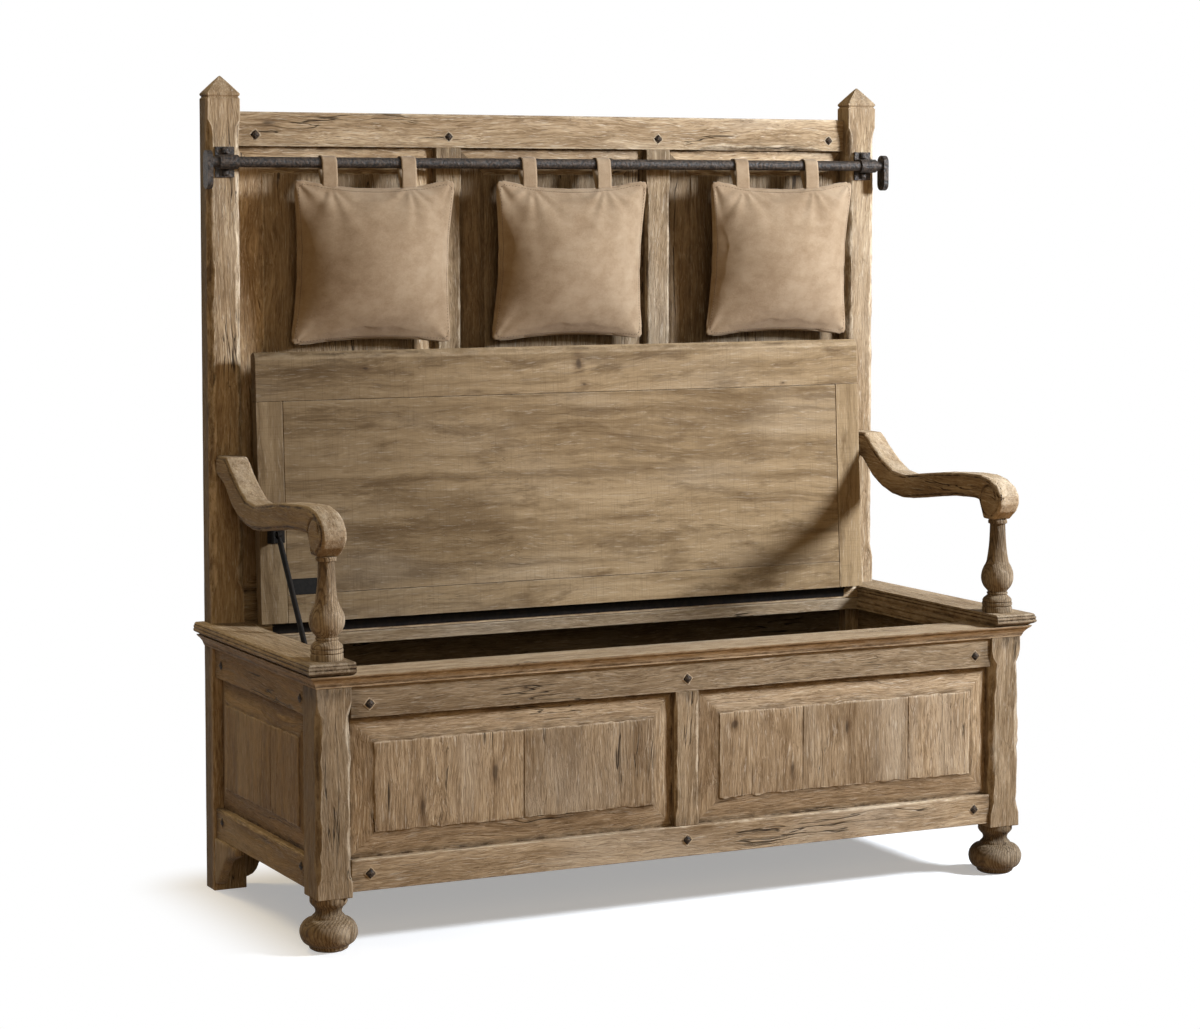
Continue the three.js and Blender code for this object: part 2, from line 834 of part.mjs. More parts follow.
function back_panel(x0, x1) {
  return raised_panel(
    x0,
    x1,
    back_seat_rail_top,
    back_top_rail_bottom,
    back_bevel_width,
    back_bevel_depth,
    back_panel_point,
  );
}

add_pair('back_panel', back_panel(-back_inner_x, -back_muntin_outer), 'panel');
add('back_panel_center', back_panel(-back_muntin_inner, back_muntin_inner), 'panel');

// Scroll arms rise to the back posts and rest on turned balusters over the front posts
const baluster_top = seat_height + baluster_height;
const arm_reach = back_post_front + arm_scroll_overhang;
const arm_outline = arm_outline_shares
  .map(([reach, rise]) => [
    back_post_front - reach * arm_reach,
    baluster_top + rise * arm_back_height,
  ])
  .reverse();
add_pair('arm', extrude_along_x(arm_outline, 0, arm_thickness - 2 * arm_arris, {
  settings: {
    bevelEnabled: true,
    bevelSize: arm_arris,
    bevelOffset: -arm_arris,
    bevelThickness: arm_arris,
    bevelSegments: 1,
  },
}).translate(-front_post_centre_x - arm_thickness / 2 + arm_arris, 0, 0), 'oak');
add_pair('arm_baluster', turned(
  baluster_outline_shares,
  baluster_radius,
  baluster_height,
  round_segments,
).translate(-front_post_centre_x, front_post_centre_y, seat_height), 'oak');

// Lid: a field let into a frame with a moulded front edge, built lying flat with the hinge
// axis at its origin, then turned up to stand open
const lid = new THREE.Group();
lid.position.set(0, hinge_y, seat_height);
lid.rotation.x = -THREE.MathUtils.degToRad(90 + lid_lean_degrees);
bench.add(lid);

const lid_rear = hinge_leaf_offset + hinge_leaf_thickness + joint_gap;
const lid_nose = nose_overhang - nose_outline_shares.at(-1)[0] * nose_overhang;
const lid_front_y = -lid_length + lid_nose;
const lid_profile = [
  [-lid_rear - barrel_chamfer, 0],
  ...nose_outline_shares.map(([reach, drop]) => (
    [lid_front_y - reach * nose_overhang + nose_overhang - lid_nose, -drop * lid_thickness]
  )),
  [-lid_rear, -lid_thickness],
  [-lid_rear, -barrel_chamfer],
];
const field_half_width = lid_half_width - lid_end_board_width;
const field_front_y = -lid_length + lid_front_board_width;
const field_back_y = -lid_rear - lid_back_board_width;
const field_lower = -lid_thickness + joint_gap;
add('lid_frame', cut(
  extrude_along_x(lid_profile, -lid_half_width, 2 * lid_half_width),
  board(
    -field_half_width,
    field_half_width,
    field_front_y,
    field_back_y,
    -lid_thickness - cut_overrun,
    cut_overrun,
  ),
), 'lid', lid);
add('lid_field', board(
  -field_half_width + joint_gap,
  field_half_width - joint_gap,
  field_front_y + joint_gap,
  field_back_y - joint_gap,
  field_lower,
  0,
), 'lid', lid);

// Continuous hinge along the back edge of the lid: two leaves with alternate knuckles on one
// pin. Leaves are made at the axis, with y away from the lid for the fixed one.
const hinge_length = 2 * (lid_half_width - hinge_end_inset);
const knuckle_pitch = hinge_length / hinge_knuckle_count;
const hinge_start = -hinge_length / 2;

function knuckle_span(place) {
  const start = hinge_start + place * knuckle_pitch;
  return [start + joint_gap / 2, start + knuckle_pitch - joint_gap / 2];
}

function hinge_leaf(first_knuckle, direction) {
  const near = direction * hinge_leaf_offset;
  const far = direction * (hinge_leaf_offset + hinge_leaf_thickness);
  let leaf = solid_of(board(
    hinge_start,
    hinge_start + hinge_length,
    Math.min(near, far),
    Math.max(near, far),
    -hinge_leaf_height,
    0,
  ));
  for (let place = 0; place < hinge_knuckle_count; place += 1) {
    const [x0, x1] = knuckle_span(place);
    const is_own = place % 2 === first_knuckle;
    const radius = is_own ? hinge_barrel_radius : barrel_room;
    const room = is_own ? 0 : joint_gap;
    const barrel = solid_of(
      cylinder_along_x(radius, x0 - room, x1 + room, small_round_segments),
    );
    leaf = is_own ? leaf.add(barrel) : leaf.subtract(barrel);
  }
  const bore = solid_of(cylinder_along_x(
    hinge_pin_radius + joint_gap,
    hinge_start - cut_overrun,
    hinge_start + hinge_length + cut_overrun,
    small_round_segments,
  ));
  return geometry_of(leaf.subtract(bore));
}

add('hinge_moving_leaf', hinge_leaf(0, -1), 'steel', lid);
const hinge_axis = new THREE.Group();
hinge_axis.position.set(0, hinge_y, seat_height);
bench.add(hinge_axis);
add('hinge_fixed_leaf', hinge_leaf(1, 1), 'steel', hinge_axis);
add('hinge_pin', cylinder_along_x(
  hinge_pin_radius,
  hinge_start,
  hinge_start + hinge_length,
  small_round_segments,
), 'steel', hinge_axis);

// Telescopic stay: a tube that turns on a stud of the lid's bracket, and a rod that slides
// in it and turns on the floor bracket. All of it lies in one plane beside the left wall.
const stay_x = -(lid_half_width - stay_inset);
const stay_plate_x = stay_x - stay_plate_distance;
const lid_stud_y = -stay_lid_reach;
const lid_stud_z = -lid_thickness - stay_stand_off;
const bracket_face = -lid_thickness - joint_gap;
add('stay_lid_bracket', join(
  board(
    stay_x - lid_plate_width / 2,
    stay_x + lid_plate_width / 2,
    lid_stud_y - lid_plate_height / 2,
    lid_stud_y + lid_plate_height / 2,
    bracket_face - stay_plate_thickness,
    bracket_face,
  ),
  board(
    stay_plate_x - stay_plate_thickness,
    stay_plate_x,
    lid_stud_y - lid_plate_height / 2,
    lid_stud_y + lid_plate_height / 2,
    lid_stud_z - stay_eye_radius,
    bracket_face,
  ),
  cylinder_along_x(
    stay_stud_radius,
    stay_plate_x - stay_plate_thickness,
    stay_x + stay_eye_thickness,
    small_round_segments,
  ).translate(0, lid_stud_y, lid_stud_z),
), 'steel', lid);

const lid_turn = new THREE.Matrix4().makeRotationX(lid.rotation.x);
const upper_stud = new THREE.Vector3(0, lid_stud_y, lid_stud_z)
  .applyMatrix4(lid_turn)
  .add(new THREE.Vector3(0, hinge_y, seat_height));
const lower_stud = new THREE.Vector3(
  0,
  sill_front_inner_y + stay_front_gap,
  floor_top + stay_floor_rise,
);
const stay_length = upper_stud.distanceTo(lower_stud);

// The stay is made hanging straight down from the upper stud, then tilted into line
const stay = new THREE.Group();
stay.position.set(stay_x, upper_stud.y, upper_stud.z);
stay.rotation.x = -Math.atan2(upper_stud.y - lower_stud.y, upper_stud.z - lower_stud.z);
bench.add(stay);

function stay_eye(z) {
  return cylinder_along_x(
    stay_eye_radius,
    -stay_eye_thickness / 2,
    stay_eye_thickness / 2,
    round_segments,
  ).translate(0, 0, z);
}

function upright_cylinder(radius, z0, z1, segments) {
  return new THREE.CylinderGeometry(radius, radius, z1 - z0, segments)
    .rotateX(Math.PI / 2)
    .translate(0, 0, (z0 + z1) / 2);
}

const tube_bore = stay_tube_radius - stay_tube_wall;
add('stay_tube', cut(
  join(
    stay_eye(0),
    upright_cylinder(stay_shank_radius, -stay_shank_length, 0, small_round_segments),
    upright_cylinder(stay_tube_radius, -stay_tube_end, -stay_shank_length, round_segments),
  ),
  upright_cylinder(
    tube_bore,
    -stay_tube_end - cut_overrun,
    -stay_shank_length - stay_end_wall,
    round_segments,
  ),
  cylinder_along_x(
    stay_stud_radius + joint_gap,
    -stay_eye_radius,
    stay_eye_radius,
    small_round_segments,
  ),
), 'steel', stay);
const rod_top = -stay_tube_end + stay_rod_overlap;
const floor_plate_inner = -stay_plate_distance;
add('stay_rod', join(
  upright_cylinder(stay_rod_radius, -stay_length, rod_top, small_round_segments),
  stay_eye(-stay_length),
  cylinder_along_x(
    stay_stud_radius,
    floor_plate_inner + joint_gap,
    0,
    small_round_segments,
  ).translate(0, 0, -stay_length),
), 'steel', stay);

// The floor bracket is an angle screwed to the chest floor; the rod's stud ends at its plate
add('stay_floor_bracket', join(
  board(
    stay_plate_x - stay_plate_thickness,
    stay_plate_x,
    lower_stud.y - floor_bracket_width / 2,
    lower_stud.y + floor_bracket_width / 2,
    floor_top,
    lower_stud.z + 2 * stay_eye_radius,
  ),
  board(
    stay_plate_x - floor_bracket_foot,
    stay_plate_x,
    lower_stud.y - floor_bracket_width / 2,
    lower_stud.y + floor_bracket_width / 2,
    floor_top,
    floor_top + stay_plate_thickness,
  ),
), 'steel');

// Iron rod in front of the posts, held by strap brackets and closed by oblong finials
const rod_half_length = half_width + rod_overhang;
const rod_axis = new THREE.Group();
rod_axis.position.set(0, rod_y, rod_height);
bench.add(rod_axis);
add('hanging_rod', cylinder_along_x(
  rod_radius,
  -rod_half_length,
  rod_half_length,
  round_segments,
), 'iron', rod_axis);

function circle_points(radius, from, to, steps) {
  return Array.from({ length: steps + 1 }, (_, i) => {
    const angle = from + ((to - from) * i) / steps;
    return [radius * Math.cos(angle), radius * Math.sin(angle)];
  });
}

const strap_radius = rod_radius + joint_gap + strap_wall;
const plate_y = rod_stand_off - strap_plate_thickness;
const strap_outline = [
  ...circle_points(strap_radius, Math.PI / 2, Math.PI * 1.5, strap_arc_steps),
  [plate_y, -strap_radius], [plate_y, -strap_plate_height / 2],
  [rod_stand_off, -strap_plate_height / 2], [rod_stand_off, strap_plate_height / 2],
  [plate_y, strap_plate_height / 2], [plate_y, strap_radius],
];
const strap_bore = circle_points(rod_radius + joint_gap, 0, Math.PI * 2, round_segments)
  .slice(0, round_segments)
  .reverse();
const back_post_centre_x = half_width - back_post_width / 2;
const strap = extrude_along_x(strap_outline, -back_post_centre_x - strap_length / 2, strap_length, {
  holes: [strap_bore],
}).translate(0, rod_y, rod_height);
add_pair('rod_bracket', strap, 'iron');

const finial_round = finial_depth / 2;
const finial_low = finial_rise - finial_height;
const finial_outline = [
  ...circle_points(finial_round, Math.PI, Math.PI * 2, finial_arc_steps)
    .map(([y, z]) => [y, z + finial_low + finial_round]),
  ...circle_points(finial_round, 0, Math.PI, finial_arc_steps)
    .map(([y, z]) => [y, z + finial_rise - finial_round]),
];
add_pair('rod_finial', extrude_along_x(
  finial_outline,
  -rod_half_length - finial_thickness,
  finial_thickness,
).translate(0, rod_y, rod_height), 'iron');

// A cushion: crowned front and back, sides and top drawn in between pointed corners, and a
// narrow band where the two faces are sewn. Made upright about its centre.
function cushion_body() {
  const steps = cushion_grid_steps;
  const [half_x, half_z] = [cushion_width / 2, cushion_height / 2];
  const point = (i, j, crown, direction) => {
    const u = (2 * i) / steps - 1;
    const v = (2 * j) / steps - 1;
    const swell = ((1 - u * u) * (1 - v * v)) ** cushion_crown_power;
    return [
      u * (half_x - cushion_side_draw * (1 - v * v)),
      direction * (cushion_seam + crown * swell),
      v * (half_z - cushion_top_draw * (1 - u * u)),
    ];
  };
  const positions = [];
  for (const [crown, direction] of [[cushion_front_crown, -1], [cushion_back_crown, 1]]) {
    for (let j = 0; j <= steps; j += 1) {
      for (let i = 0; i <= steps; i += 1) {
        positions.push(...point(i, j, crown, direction));
      }
    }
  }
  const row = steps + 1;
  const back_start = row * row;
  const index = [];
  for (let j = 0; j < steps; j += 1) {
    for (let i = 0; i < steps; i += 1) {
      const a = j * row + i;
      const [b, c, d] = [a + 1, a + 1 + row, a + row];
      index.push(a, b, c, a, c, d);
      index.push(back_start + a, back_start + c, back_start + b);
      index.push(back_start + a, back_start + d, back_start + c);
    }
  }
  const rim = [
    ...Array.from({ length: steps }, (_, i) => i),
    ...Array.from({ length: steps }, (_, j) => j * row + steps),
    ...Array.from({ length: steps }, (_, i) => steps * row + steps - i),
    ...Array.from({ length: steps }, (_, j) => (steps - j) * row),
  ];
  rim.forEach((a, i) => {
    const b = rim[(i + 1) % rim.length];
    index.push(a, back_start + a, b, b, back_start + a, back_start + b);
  });
  const geometry = new THREE.BufferGeometry();
  geometry.setAttribute('position', new THREE.Float32BufferAttribute(positions, 3));
  geometry.setIndex(index);
  return geometry;
}

// The outline round two circles, as a strap pulled tight over them would lie
function strap_round(centre_a, radius_a, centre_b, radius_b) {
  const along = Math.atan2(centre_b[1] - centre_a[1], centre_b[0] - centre_a[0]);
  const apart = Math.hypot(centre_b[1] - centre_a[1], centre_b[0] - centre_a[0]);
  const spread = Math.acos((radius_a - radius_b) / apart);
  const over_a = circle_points(
    radius_a,
    along + spread,
    along + Math.PI * 2 - spread,
    strap_arc_steps,
  );
  const over_b = circle_points(radius_b, along - spread, along + spread, seam_arc_steps);
  return [
    ...over_a.map(([y, z]) => [y + centre_a[0], z + centre_a[1]]),
    ...over_b.map(([y, z]) => [y + centre_b[0], z + centre_b[1]]),
  ];
}

// Each cushion hangs from two tabs, sewn into its top seam and looped over the rod
const cushion_middle_z = (cushion_bottom_height + cushion_top_height) / 2;
const cushion_middle_y = rod_y - cushion_top_set_forward + cushion_lean / 2;
const seam_middle = cushion_height / 2 - cushion_top_draw;
const sewn_place = [
  cushion_middle_y - (seam_middle - tab_sewn_depth / 2) * Math.sin(cushion_tilt),
  cushion_middle_z + (seam_middle - tab_sewn_depth / 2) * Math.cos(cushion_tilt),
];
const tab_inner = rod_radius + tab_clearance;
const tab_outline = strap_round([rod_y, rod_height], tab_inner + tab_thickness,
  sewn_place, cushion_seam + tab_thickness);
const tab_hole = strap_round([rod_y, rod_height], tab_inner,
  [sewn_place[0], sewn_place[1] + tab_sewn_depth], cushion_seam / 2).reverse();

// The cushions stand along the rod with uneven gaps, given as shares of what they leave free
const free_length = 2 * back_inner_x - 3 * cushion_width;
let cushion_start = -back_inner_x;
for (const [place, gap_share] of Object.entries(cushion_gap_shares)) {
  cushion_start += gap_share * free_length;
  const centre_x = cushion_start + cushion_width / 2;
  cushion_start += cushion_width;
  const body = cushion_body()
    .rotateX(cushion_tilt)
    .translate(centre_x, cushion_middle_y, cushion_middle_z);
  const tabs = [-1, 1].map((side) => extrude_along_x(
    tab_outline,
    centre_x + tab_shift + (side * tab_spacing) / 2 - tab_width / 2,
    tab_width,
    { holes: [tab_hole] },
  ));
  add(`cushion_${place}`, join(body, ...tabs), 'suede');
}

export default settle;
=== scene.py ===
import json
import math

import bmesh
import bpy
from mathutils import Matrix, Vector, noise
from mathutils.bvhtree import BVHTree


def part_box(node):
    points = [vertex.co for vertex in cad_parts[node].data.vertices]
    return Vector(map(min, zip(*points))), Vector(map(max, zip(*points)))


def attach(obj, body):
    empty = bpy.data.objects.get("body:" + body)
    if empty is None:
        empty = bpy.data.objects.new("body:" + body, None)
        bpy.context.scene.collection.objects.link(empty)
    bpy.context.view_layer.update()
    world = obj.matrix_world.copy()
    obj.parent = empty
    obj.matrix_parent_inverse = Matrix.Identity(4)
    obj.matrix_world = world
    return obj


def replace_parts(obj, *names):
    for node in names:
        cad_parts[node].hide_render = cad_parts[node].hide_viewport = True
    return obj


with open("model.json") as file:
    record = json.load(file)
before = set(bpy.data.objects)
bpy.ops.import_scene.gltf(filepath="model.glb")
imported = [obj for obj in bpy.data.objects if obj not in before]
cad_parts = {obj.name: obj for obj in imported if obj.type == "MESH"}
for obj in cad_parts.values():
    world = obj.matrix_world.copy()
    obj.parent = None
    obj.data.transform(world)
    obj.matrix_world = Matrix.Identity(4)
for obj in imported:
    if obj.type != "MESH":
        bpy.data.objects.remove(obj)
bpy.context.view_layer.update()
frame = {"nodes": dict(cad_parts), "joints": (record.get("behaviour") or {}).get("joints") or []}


# The room: a wide pale floor, a cool lamp high on the right, a warm one high behind and a
# weaker one in front, a faint sky, and a camera at chest height off the bench's left end.
def set_up(name, data):
    made = bpy.data.objects.new(name, data)
    bpy.context.scene.collection.objects.link(made)
    return made


camera = set_up("camera", bpy.data.cameras.new("camera"))
camera.location = (-2.4051, -4.7339, 1.2127)
camera.rotation_euler = [math.radians(turn) for turn in (85.9807, 0.0523, -25.9421)]
camera.data.sensor_fit = "HORIZONTAL"
camera.data.sensor_width = 36
camera.data.lens = 89.0139
camera.data.shift_x, camera.data.shift_y = 0.0269, -0.08
bpy.context.scene.camera = camera
bpy.context.scene.view_settings.view_transform = "Standard"


def lamp(name, place, target, size, power, colour):
    light = bpy.data.lights.new(name, "AREA")
    light.shape = "DISK"
    light.size = size
    light.energy = power
    light.color = colour
    made = set_up(name, light)
    made.location = place
    made.rotation_euler = (Vector(target) - Vector(place)).to_track_quat("-Z", "Y").to_euler()


lamp("key_lamp", (2.65, -1.8, 2.05), (0, 0, 0.7), 0.7, 245, (0.88, 0.93, 1))
lamp("back_lamp", (-1.9, 3.6, 4.2), (0, 0.2, 0.6), 2.0, 90, (1, 0.77, 0.4))
lamp("front_lamp", (-1.4, -4.4, 1.6), (0, 0, 0.7), 2.4, 42, (1, 0.78, 0.5))


class Socket:
    """The output of a shader node. Sums and products of it add the Math nodes they need."""

    def __init__(self, tree, out=None):
        self.tree, self.out = tree, out

    def node(self, kind, inputs, output=0, **settings):
        made = self.tree.nodes.new("ShaderNode" + kind)
        for stop in range(len(settings.get("stops", ())) - 2):
            made.color_ramp.elements.new(0.5)
        for label, value in settings.items():
            if label == "stops":
                for element, (place, colour) in zip(made.color_ramp.elements, value):
                    element.position, element.color = place, colour
            else:
                setattr(made, label, value)
        for key, value in inputs.items():
            if isinstance(value, Socket):
                self.tree.links.new(value.out, made.inputs[key])
            else:
                made.inputs[key].default_value = value
        return Socket(self.tree, made.outputs[output] if made.outputs else None)

    def sums(self, operation, first, second):
        return self.node("Math", {0: first, 1: second}, operation=operation)

    def __add__(self, other):
        return self.sums("ADD", self, other)

    def __sub__(self, other):
        return self.sums("SUBTRACT", self, other)

    def __rsub__(self, other):
        return self.sums("SUBTRACT", other, self)

    def __mul__(self, other):
        return self.sums("MULTIPLY", self, other)

    def __abs__(self):
        return self.sums("ABSOLUTE", self, 0.0)

    __radd__, __rmul__ = __add__, __mul__

    def between(self, low, high, start=0.0, end=1.0):
        """A soft step: start below low, end above high, held outside them."""
        return self.node(
            "MapRange",
            {"Value": self, "From Min": low, "From Max": high, "To Min": start, "To Max": end},
            interpolation_type="SMOOTHSTEP",
        )

    def mixed(self, below, above):
        """The colour below where this is 0, and the one above where it is 1."""
        return self.node("Mix", {0: self, 6: below, 7: above}, 2, data_type="RGBA")

    def vector(self, operation, other=(0, 0, 0), output=0):
        return self.node("VectorMath", {0: self, 1: other}, output, operation=operation)

    def noise(self, stretch, detail=3.0, roughness=0.55):
        """Cloudy noise from 0 to 1 at this place; stretch is how often it repeats per metre."""
        inputs = {"Vector": self.vector("MULTIPLY", stretch), "Scale": 1.0, "Detail": detail}
        return self.node("TexNoise", inputs | {"Roughness": roughness})


def shader_of(block):
    block.use_nodes = True
    block.node_tree.nodes.clear()
    return Socket(block.node_tree)


def new_material(name):
    material = bpy.data.materials.new(name)
    return material, shader_of(material)


def rgb(red, green, blue):
    """A colour as it looks on paper, 0 to 255, turned into the light that it sends back."""
    parts = [x / 255 for x in (red, green, blue)]
    return tuple(x / 12.92 if x <= 0.04045 else ((x + 0.055) / 1.055) ** 2.4 for x in parts) + (1,)


def looked_at(shader):
    """1 where the eye looks, straight, in a mirror or through glass, and 0 for other light."""
    straight, mirror, glass = [
        shader.node("LightPath", {}, f"Is {ray} Ray") for ray in ("Camera", "Glossy", "Transmission")
    ]
    return shader.sums("MAXIMUM", shader.sums("MAXIMUM", straight, mirror), glass)


pure_white = (1, 1, 1, 1)
world = bpy.data.worlds.new("sky")
bpy.context.scene.world = world
sky = shader_of(world)
light_sky = sky.node("Background", {"Color": (1, 0.7, 0.32, 1), "Strength": 0.12})
white_sky = sky.node("Background", {"Color": pure_white, "Strength": 1.0})
both = sky.node("MixShader", {0: looked_at(sky), 1: light_sky, 2: white_sky})
sky.node("OutputWorld", {"Surface": both})

floor_paint, paint = new_material("floor_paint")
ground = paint.node("NewGeometry", {}, "Position")
scuffs = ground.noise((3.1, 2.3, 1.0))
pale = scuffs.between(0.3, 0.7).mixed(rgb(229, 231, 233), rgb(235, 237, 239))
matt = paint.node("BsdfDiffuse", {"Color": pale})
glow = paint.node("Emission", {"Color": pure_white, "Strength": 0.34})
lit = paint.node("AddShader", {0: matt, 1: glow})
white = paint.node("Emission", {"Color": pure_white, "Strength": 1.0})
beside = ground.vector("ABSOLUTE").vector("SUBTRACT", (0.64, 0.27, 0)).vector("MAXIMUM")
away = beside.vector("LENGTH", output="Value")
seen = paint.node("MixShader", {0: away.between(-0.02, 0.2), 1: lit, 2: white})
dim = paint.node("BsdfDiffuse", {"Color": rgb(134, 100, 60)})
shown = paint.node("MixShader", {0: looked_at(paint), 1: dim, 2: seen})
paint.node("OutputMaterial", {"Surface": shown})
floor_mesh = bpy.data.meshes.new("studio_floor")
floor_steps, floor_half = 24, 60.0
floor_lines = [floor_half * (2 * i / floor_steps - 1) ** 3 for i in range(floor_steps + 1)]
floor_row = len(floor_lines)
floor_mesh.from_pydata(
    [(x, y, 0) for y in floor_lines for x in floor_lines], [],
    [(a, a + 1, a + 1 + floor_row, a + floor_row)
     for start in range(0, floor_steps * floor_row, floor_row)
     for a in range(start, start + floor_steps)],
)
floor_mesh.materials.append(floor_paint)
set_up("studio_floor", floor_mesh)


# The back posts: two tall oak posts, their front corners chamfered by hand between the seat
# and the neck, each with a groove cut round it under a low pyramid. The wood is old oak,
# limed and brushed: pale ridges, brown hollows, dark cracks along the grain, worn corners.
def finished(shader, colour, rough, gleam=0.5, relief=(), **more):
    """Closes a material; relief is (strength, depth, height)."""
    inputs = {"Base Color": colour, "Roughness": rough, "Specular IOR Level": gleam}
    inputs.update((label.replace("_", " "), value) for label, value in more.items())
    if relief:
        inputs["Normal"] = shader.node("Bump", dict(zip(("Strength", "Distance", "Height"), relief)))
    shader.node("OutputMaterial", {"Surface": shader.node("BsdfPrincipled", inputs)})


def oak_finish(name, pale, mild, brown, rough=0.66, relief=1.0, patches=1.0, marks=(), hatch=0.0,
               brushed=1.0, soft=1.0, rings=0.0):
    """marks are knots and splits: (middle, reach), in metres as the bench stands. rings is how
    dark the year rings are, on pieces whose grain is counted from the heart of the log."""
    material, oak = new_material(name)
    grain = oak.node("Attribute", {}, "Vector", attribute_name="grain")
    tone = oak.node("Attribute", {}, "Vector", attribute_name="tone")
    worn, dirt, shade = [oak.node("SeparateXYZ", {0: tone}, part) for part in "XYZ"]
    wander = grain.noise((2.6, 9.0, 9.0))
    drift = grain.noise((3.9, 8.0, 8.0))
    sway = oak.node("CombineXYZ", {"Y": (wander - 0.5) * 0.05, "Z": (drift - 0.5) * 0.04})
    bent = grain.vector("ADD", sway)
    figure = bent.noise((1.7, 40.0, 40.0), 4.0, 0.64)
    streaks = bent.noise((11.0, 235.0, 235.0), 4.0, 0.68)
    fibres = bent.noise((40.0, 620.0, 620.0), 2.0, 0.7)
    smudge = bent.noise((8.0, 34.0, 34.0), 5.0, 0.66)
    clouds = grain.noise((3.4, 9.0, 9.0), 5.0, 0.62)
    limed = bent.noise((24.0, 360.0, 360.0), 3.0, 0.72).between(0.55, 0.7)
    pores = bent.noise((36.0, 900.0, 900.0), 1.0).between(0.57, 0.7)
    ridge = bent.noise((1.5, 44.0, 44.0))
    gate = bent.noise((4.0, 15.0, 15.0), 1.0).between(0.56, 0.64)
    crack = abs(ridge - 0.5).between(0.002, 0.012, 1.0, 0.0) * gate
    bleach = grain.noise((2.3, 8.0, 8.0)).between(0.5, 0.74) * 0.3
    body = figure * (1 - 0.7 * brushed) + streaks * (0.42 * brushed) + fibres * (0.28 * brushed)
    stops = ((0.5 - 0.13 * soft, brown), (0.5, mild), (0.5 + 0.12 * soft, pale))
    colour = oak.node("ValToRGB", {0: body}, stops=stops)
    layers = [
        (smudge.between(0.5, 0.7) * (0.62 * patches), brown),
        (clouds.between(0.48, 0.72) * (0.5 * patches), brown),
        (bleach * brushed, rgb(198, 186, 167)),
        (limed * (0.42 * brushed), rgb(222, 211, 193)),
        (pores * (0.4 * brushed), rgb(78, 58, 38)),
    ]
    if hatch:
        rubbed = grain.noise((520.0, 16.0, 16.0), 2.0, 0.6).between(0.5, 0.72)
        layers.append((rubbed * hatch, rgb(92, 73, 50)))
    if rings:
        heart = bent.vector("MULTIPLY", (0, 1, 1)).vector("LENGTH", output="Value")
        year = abs(oak.node("Math", {0: heart * 230.0}, operation="FRACT") - 0.5)
        layers.append((year.between(0.2, 0.5) * rings, rgb(66, 47, 29)))
    spot = oak.node("TexCoord", {}, "Object")
    for middle, reach in marks:
        bend = (spot.noise((30.0, 30.0, 30.0), 2.0) - 0.5) * 0.9
        away = spot.vector("SUBTRACT", middle).vector("DIVIDE", reach)
        away = away.vector("LENGTH", output="Value") + bend
        mark = away.between(0.35, 1.0, 1.0, 0.0)
        if min(reach) > 0.004:
            mark = mark * (streaks.between(0.35, 0.6, 1.0, 0.45))
            layers.append((mark * 0.62, rgb(96, 72, 48)))
            layers.append((away.between(0.1, 0.45, 1.0, 0.0) * 0.7, rgb(52, 38, 27)))
        else:
            layers.append((mark * 0.9, rgb(34, 24, 16)))
    chips = grain.noise((30.0, 70.0, 70.0), 5.0, 0.72)
    layers += [
        (worn * chips.between(0.42, 0.62, 0.12, 0.95), rgb(216, 200, 176)),
        (dirt * chips.between(0.38, 0.62, 1.0, 0.25), rgb(50, 35, 22)),
        (crack * (0.85 * brushed * brushed), rgb(38, 27, 18)),
    ]
    for mask, over in layers:
        colour = mask.mixed(colour, over)
    bright = oak.node("CombineXYZ", dict.fromkeys(range(3), shade + 1.0))
    height = streaks * 1.0 + fibres * 0.7 + figure * 0.4 + smudge * 0.5 - pores * 0.4 - crack * 1.6
    finished(oak, colour.vector("MULTIPLY", bright),
             streaks.between(0.3, 0.7, rough - 0.08, rough + 0.1), 0.1, (0.9 * relief, 0.0012, height))
    return material


limed_oak = (rgb(192, 171, 142), rgb(160, 138, 109), rgb(112, 89, 62))
frame_oak = oak_finish("frame_oak", *limed_oak, marks=(
    ((-0.565, 0.26, 1.368), (0.034, 0.05, 0.013)), ((-0.307, -0.26, 0.413), (0.016, 0.05, 0.01)),
    ((0.353, 0.26, 1.3535), (0.036, 0.05, 0.0022)),
))


def jitter(seed, *place):
    """Smooth random values from -1 to 1 that are the same on each run."""
    spot = list(place) + [0] * (3 - len(place))
    return noise.noise(Vector(spot) + Vector((seed * 17.3, seed * 5.1 + 0.4, seed * 9.7)))


def ease(low, high, value):
    share = min(1, max(0, (value - low) / (high - low)))
    return share * share * (3 - 2 * share)


def grain_place(point, along, seed):
    """Where a point lies in the log: along, across and through, at each board's own place."""
    first, second = [a for a in range(3) if a != along]
    slope = 0.03 * math.sin(seed * 2.7)
    return (
        point[along] + seed * 3.17,
        point[first] + slope * point[along] + seed * 1.31,
        point[second] + seed * 0.77,
    )


def ring_faces(rings, width, closed=False):
    """The faces round a form whose points stand in rings: capped at its ends, or closed."""
    total = rings * width
    faces = []
    for a in range(total if closed else total - width):
        b = a - a % width + (a + 1) % width
        faces.append((a, b, (b + width) % total, (a + width) % total))
    if not closed:
        faces += [tuple(range(width)), tuple(range(total - width, total))]
    return faces


def solid_mesh(name, points, faces):
    mesh = bpy.data.meshes.new(name)
    mesh.from_pydata([tuple(p) for p in points], [], faces)
    whole = bmesh.new()
    whole.from_mesh(mesh)
    bmesh.ops.recalc_face_normals(whole, faces=whole.faces)
    whole.to_mesh(mesh)
    whole.free()
    return mesh


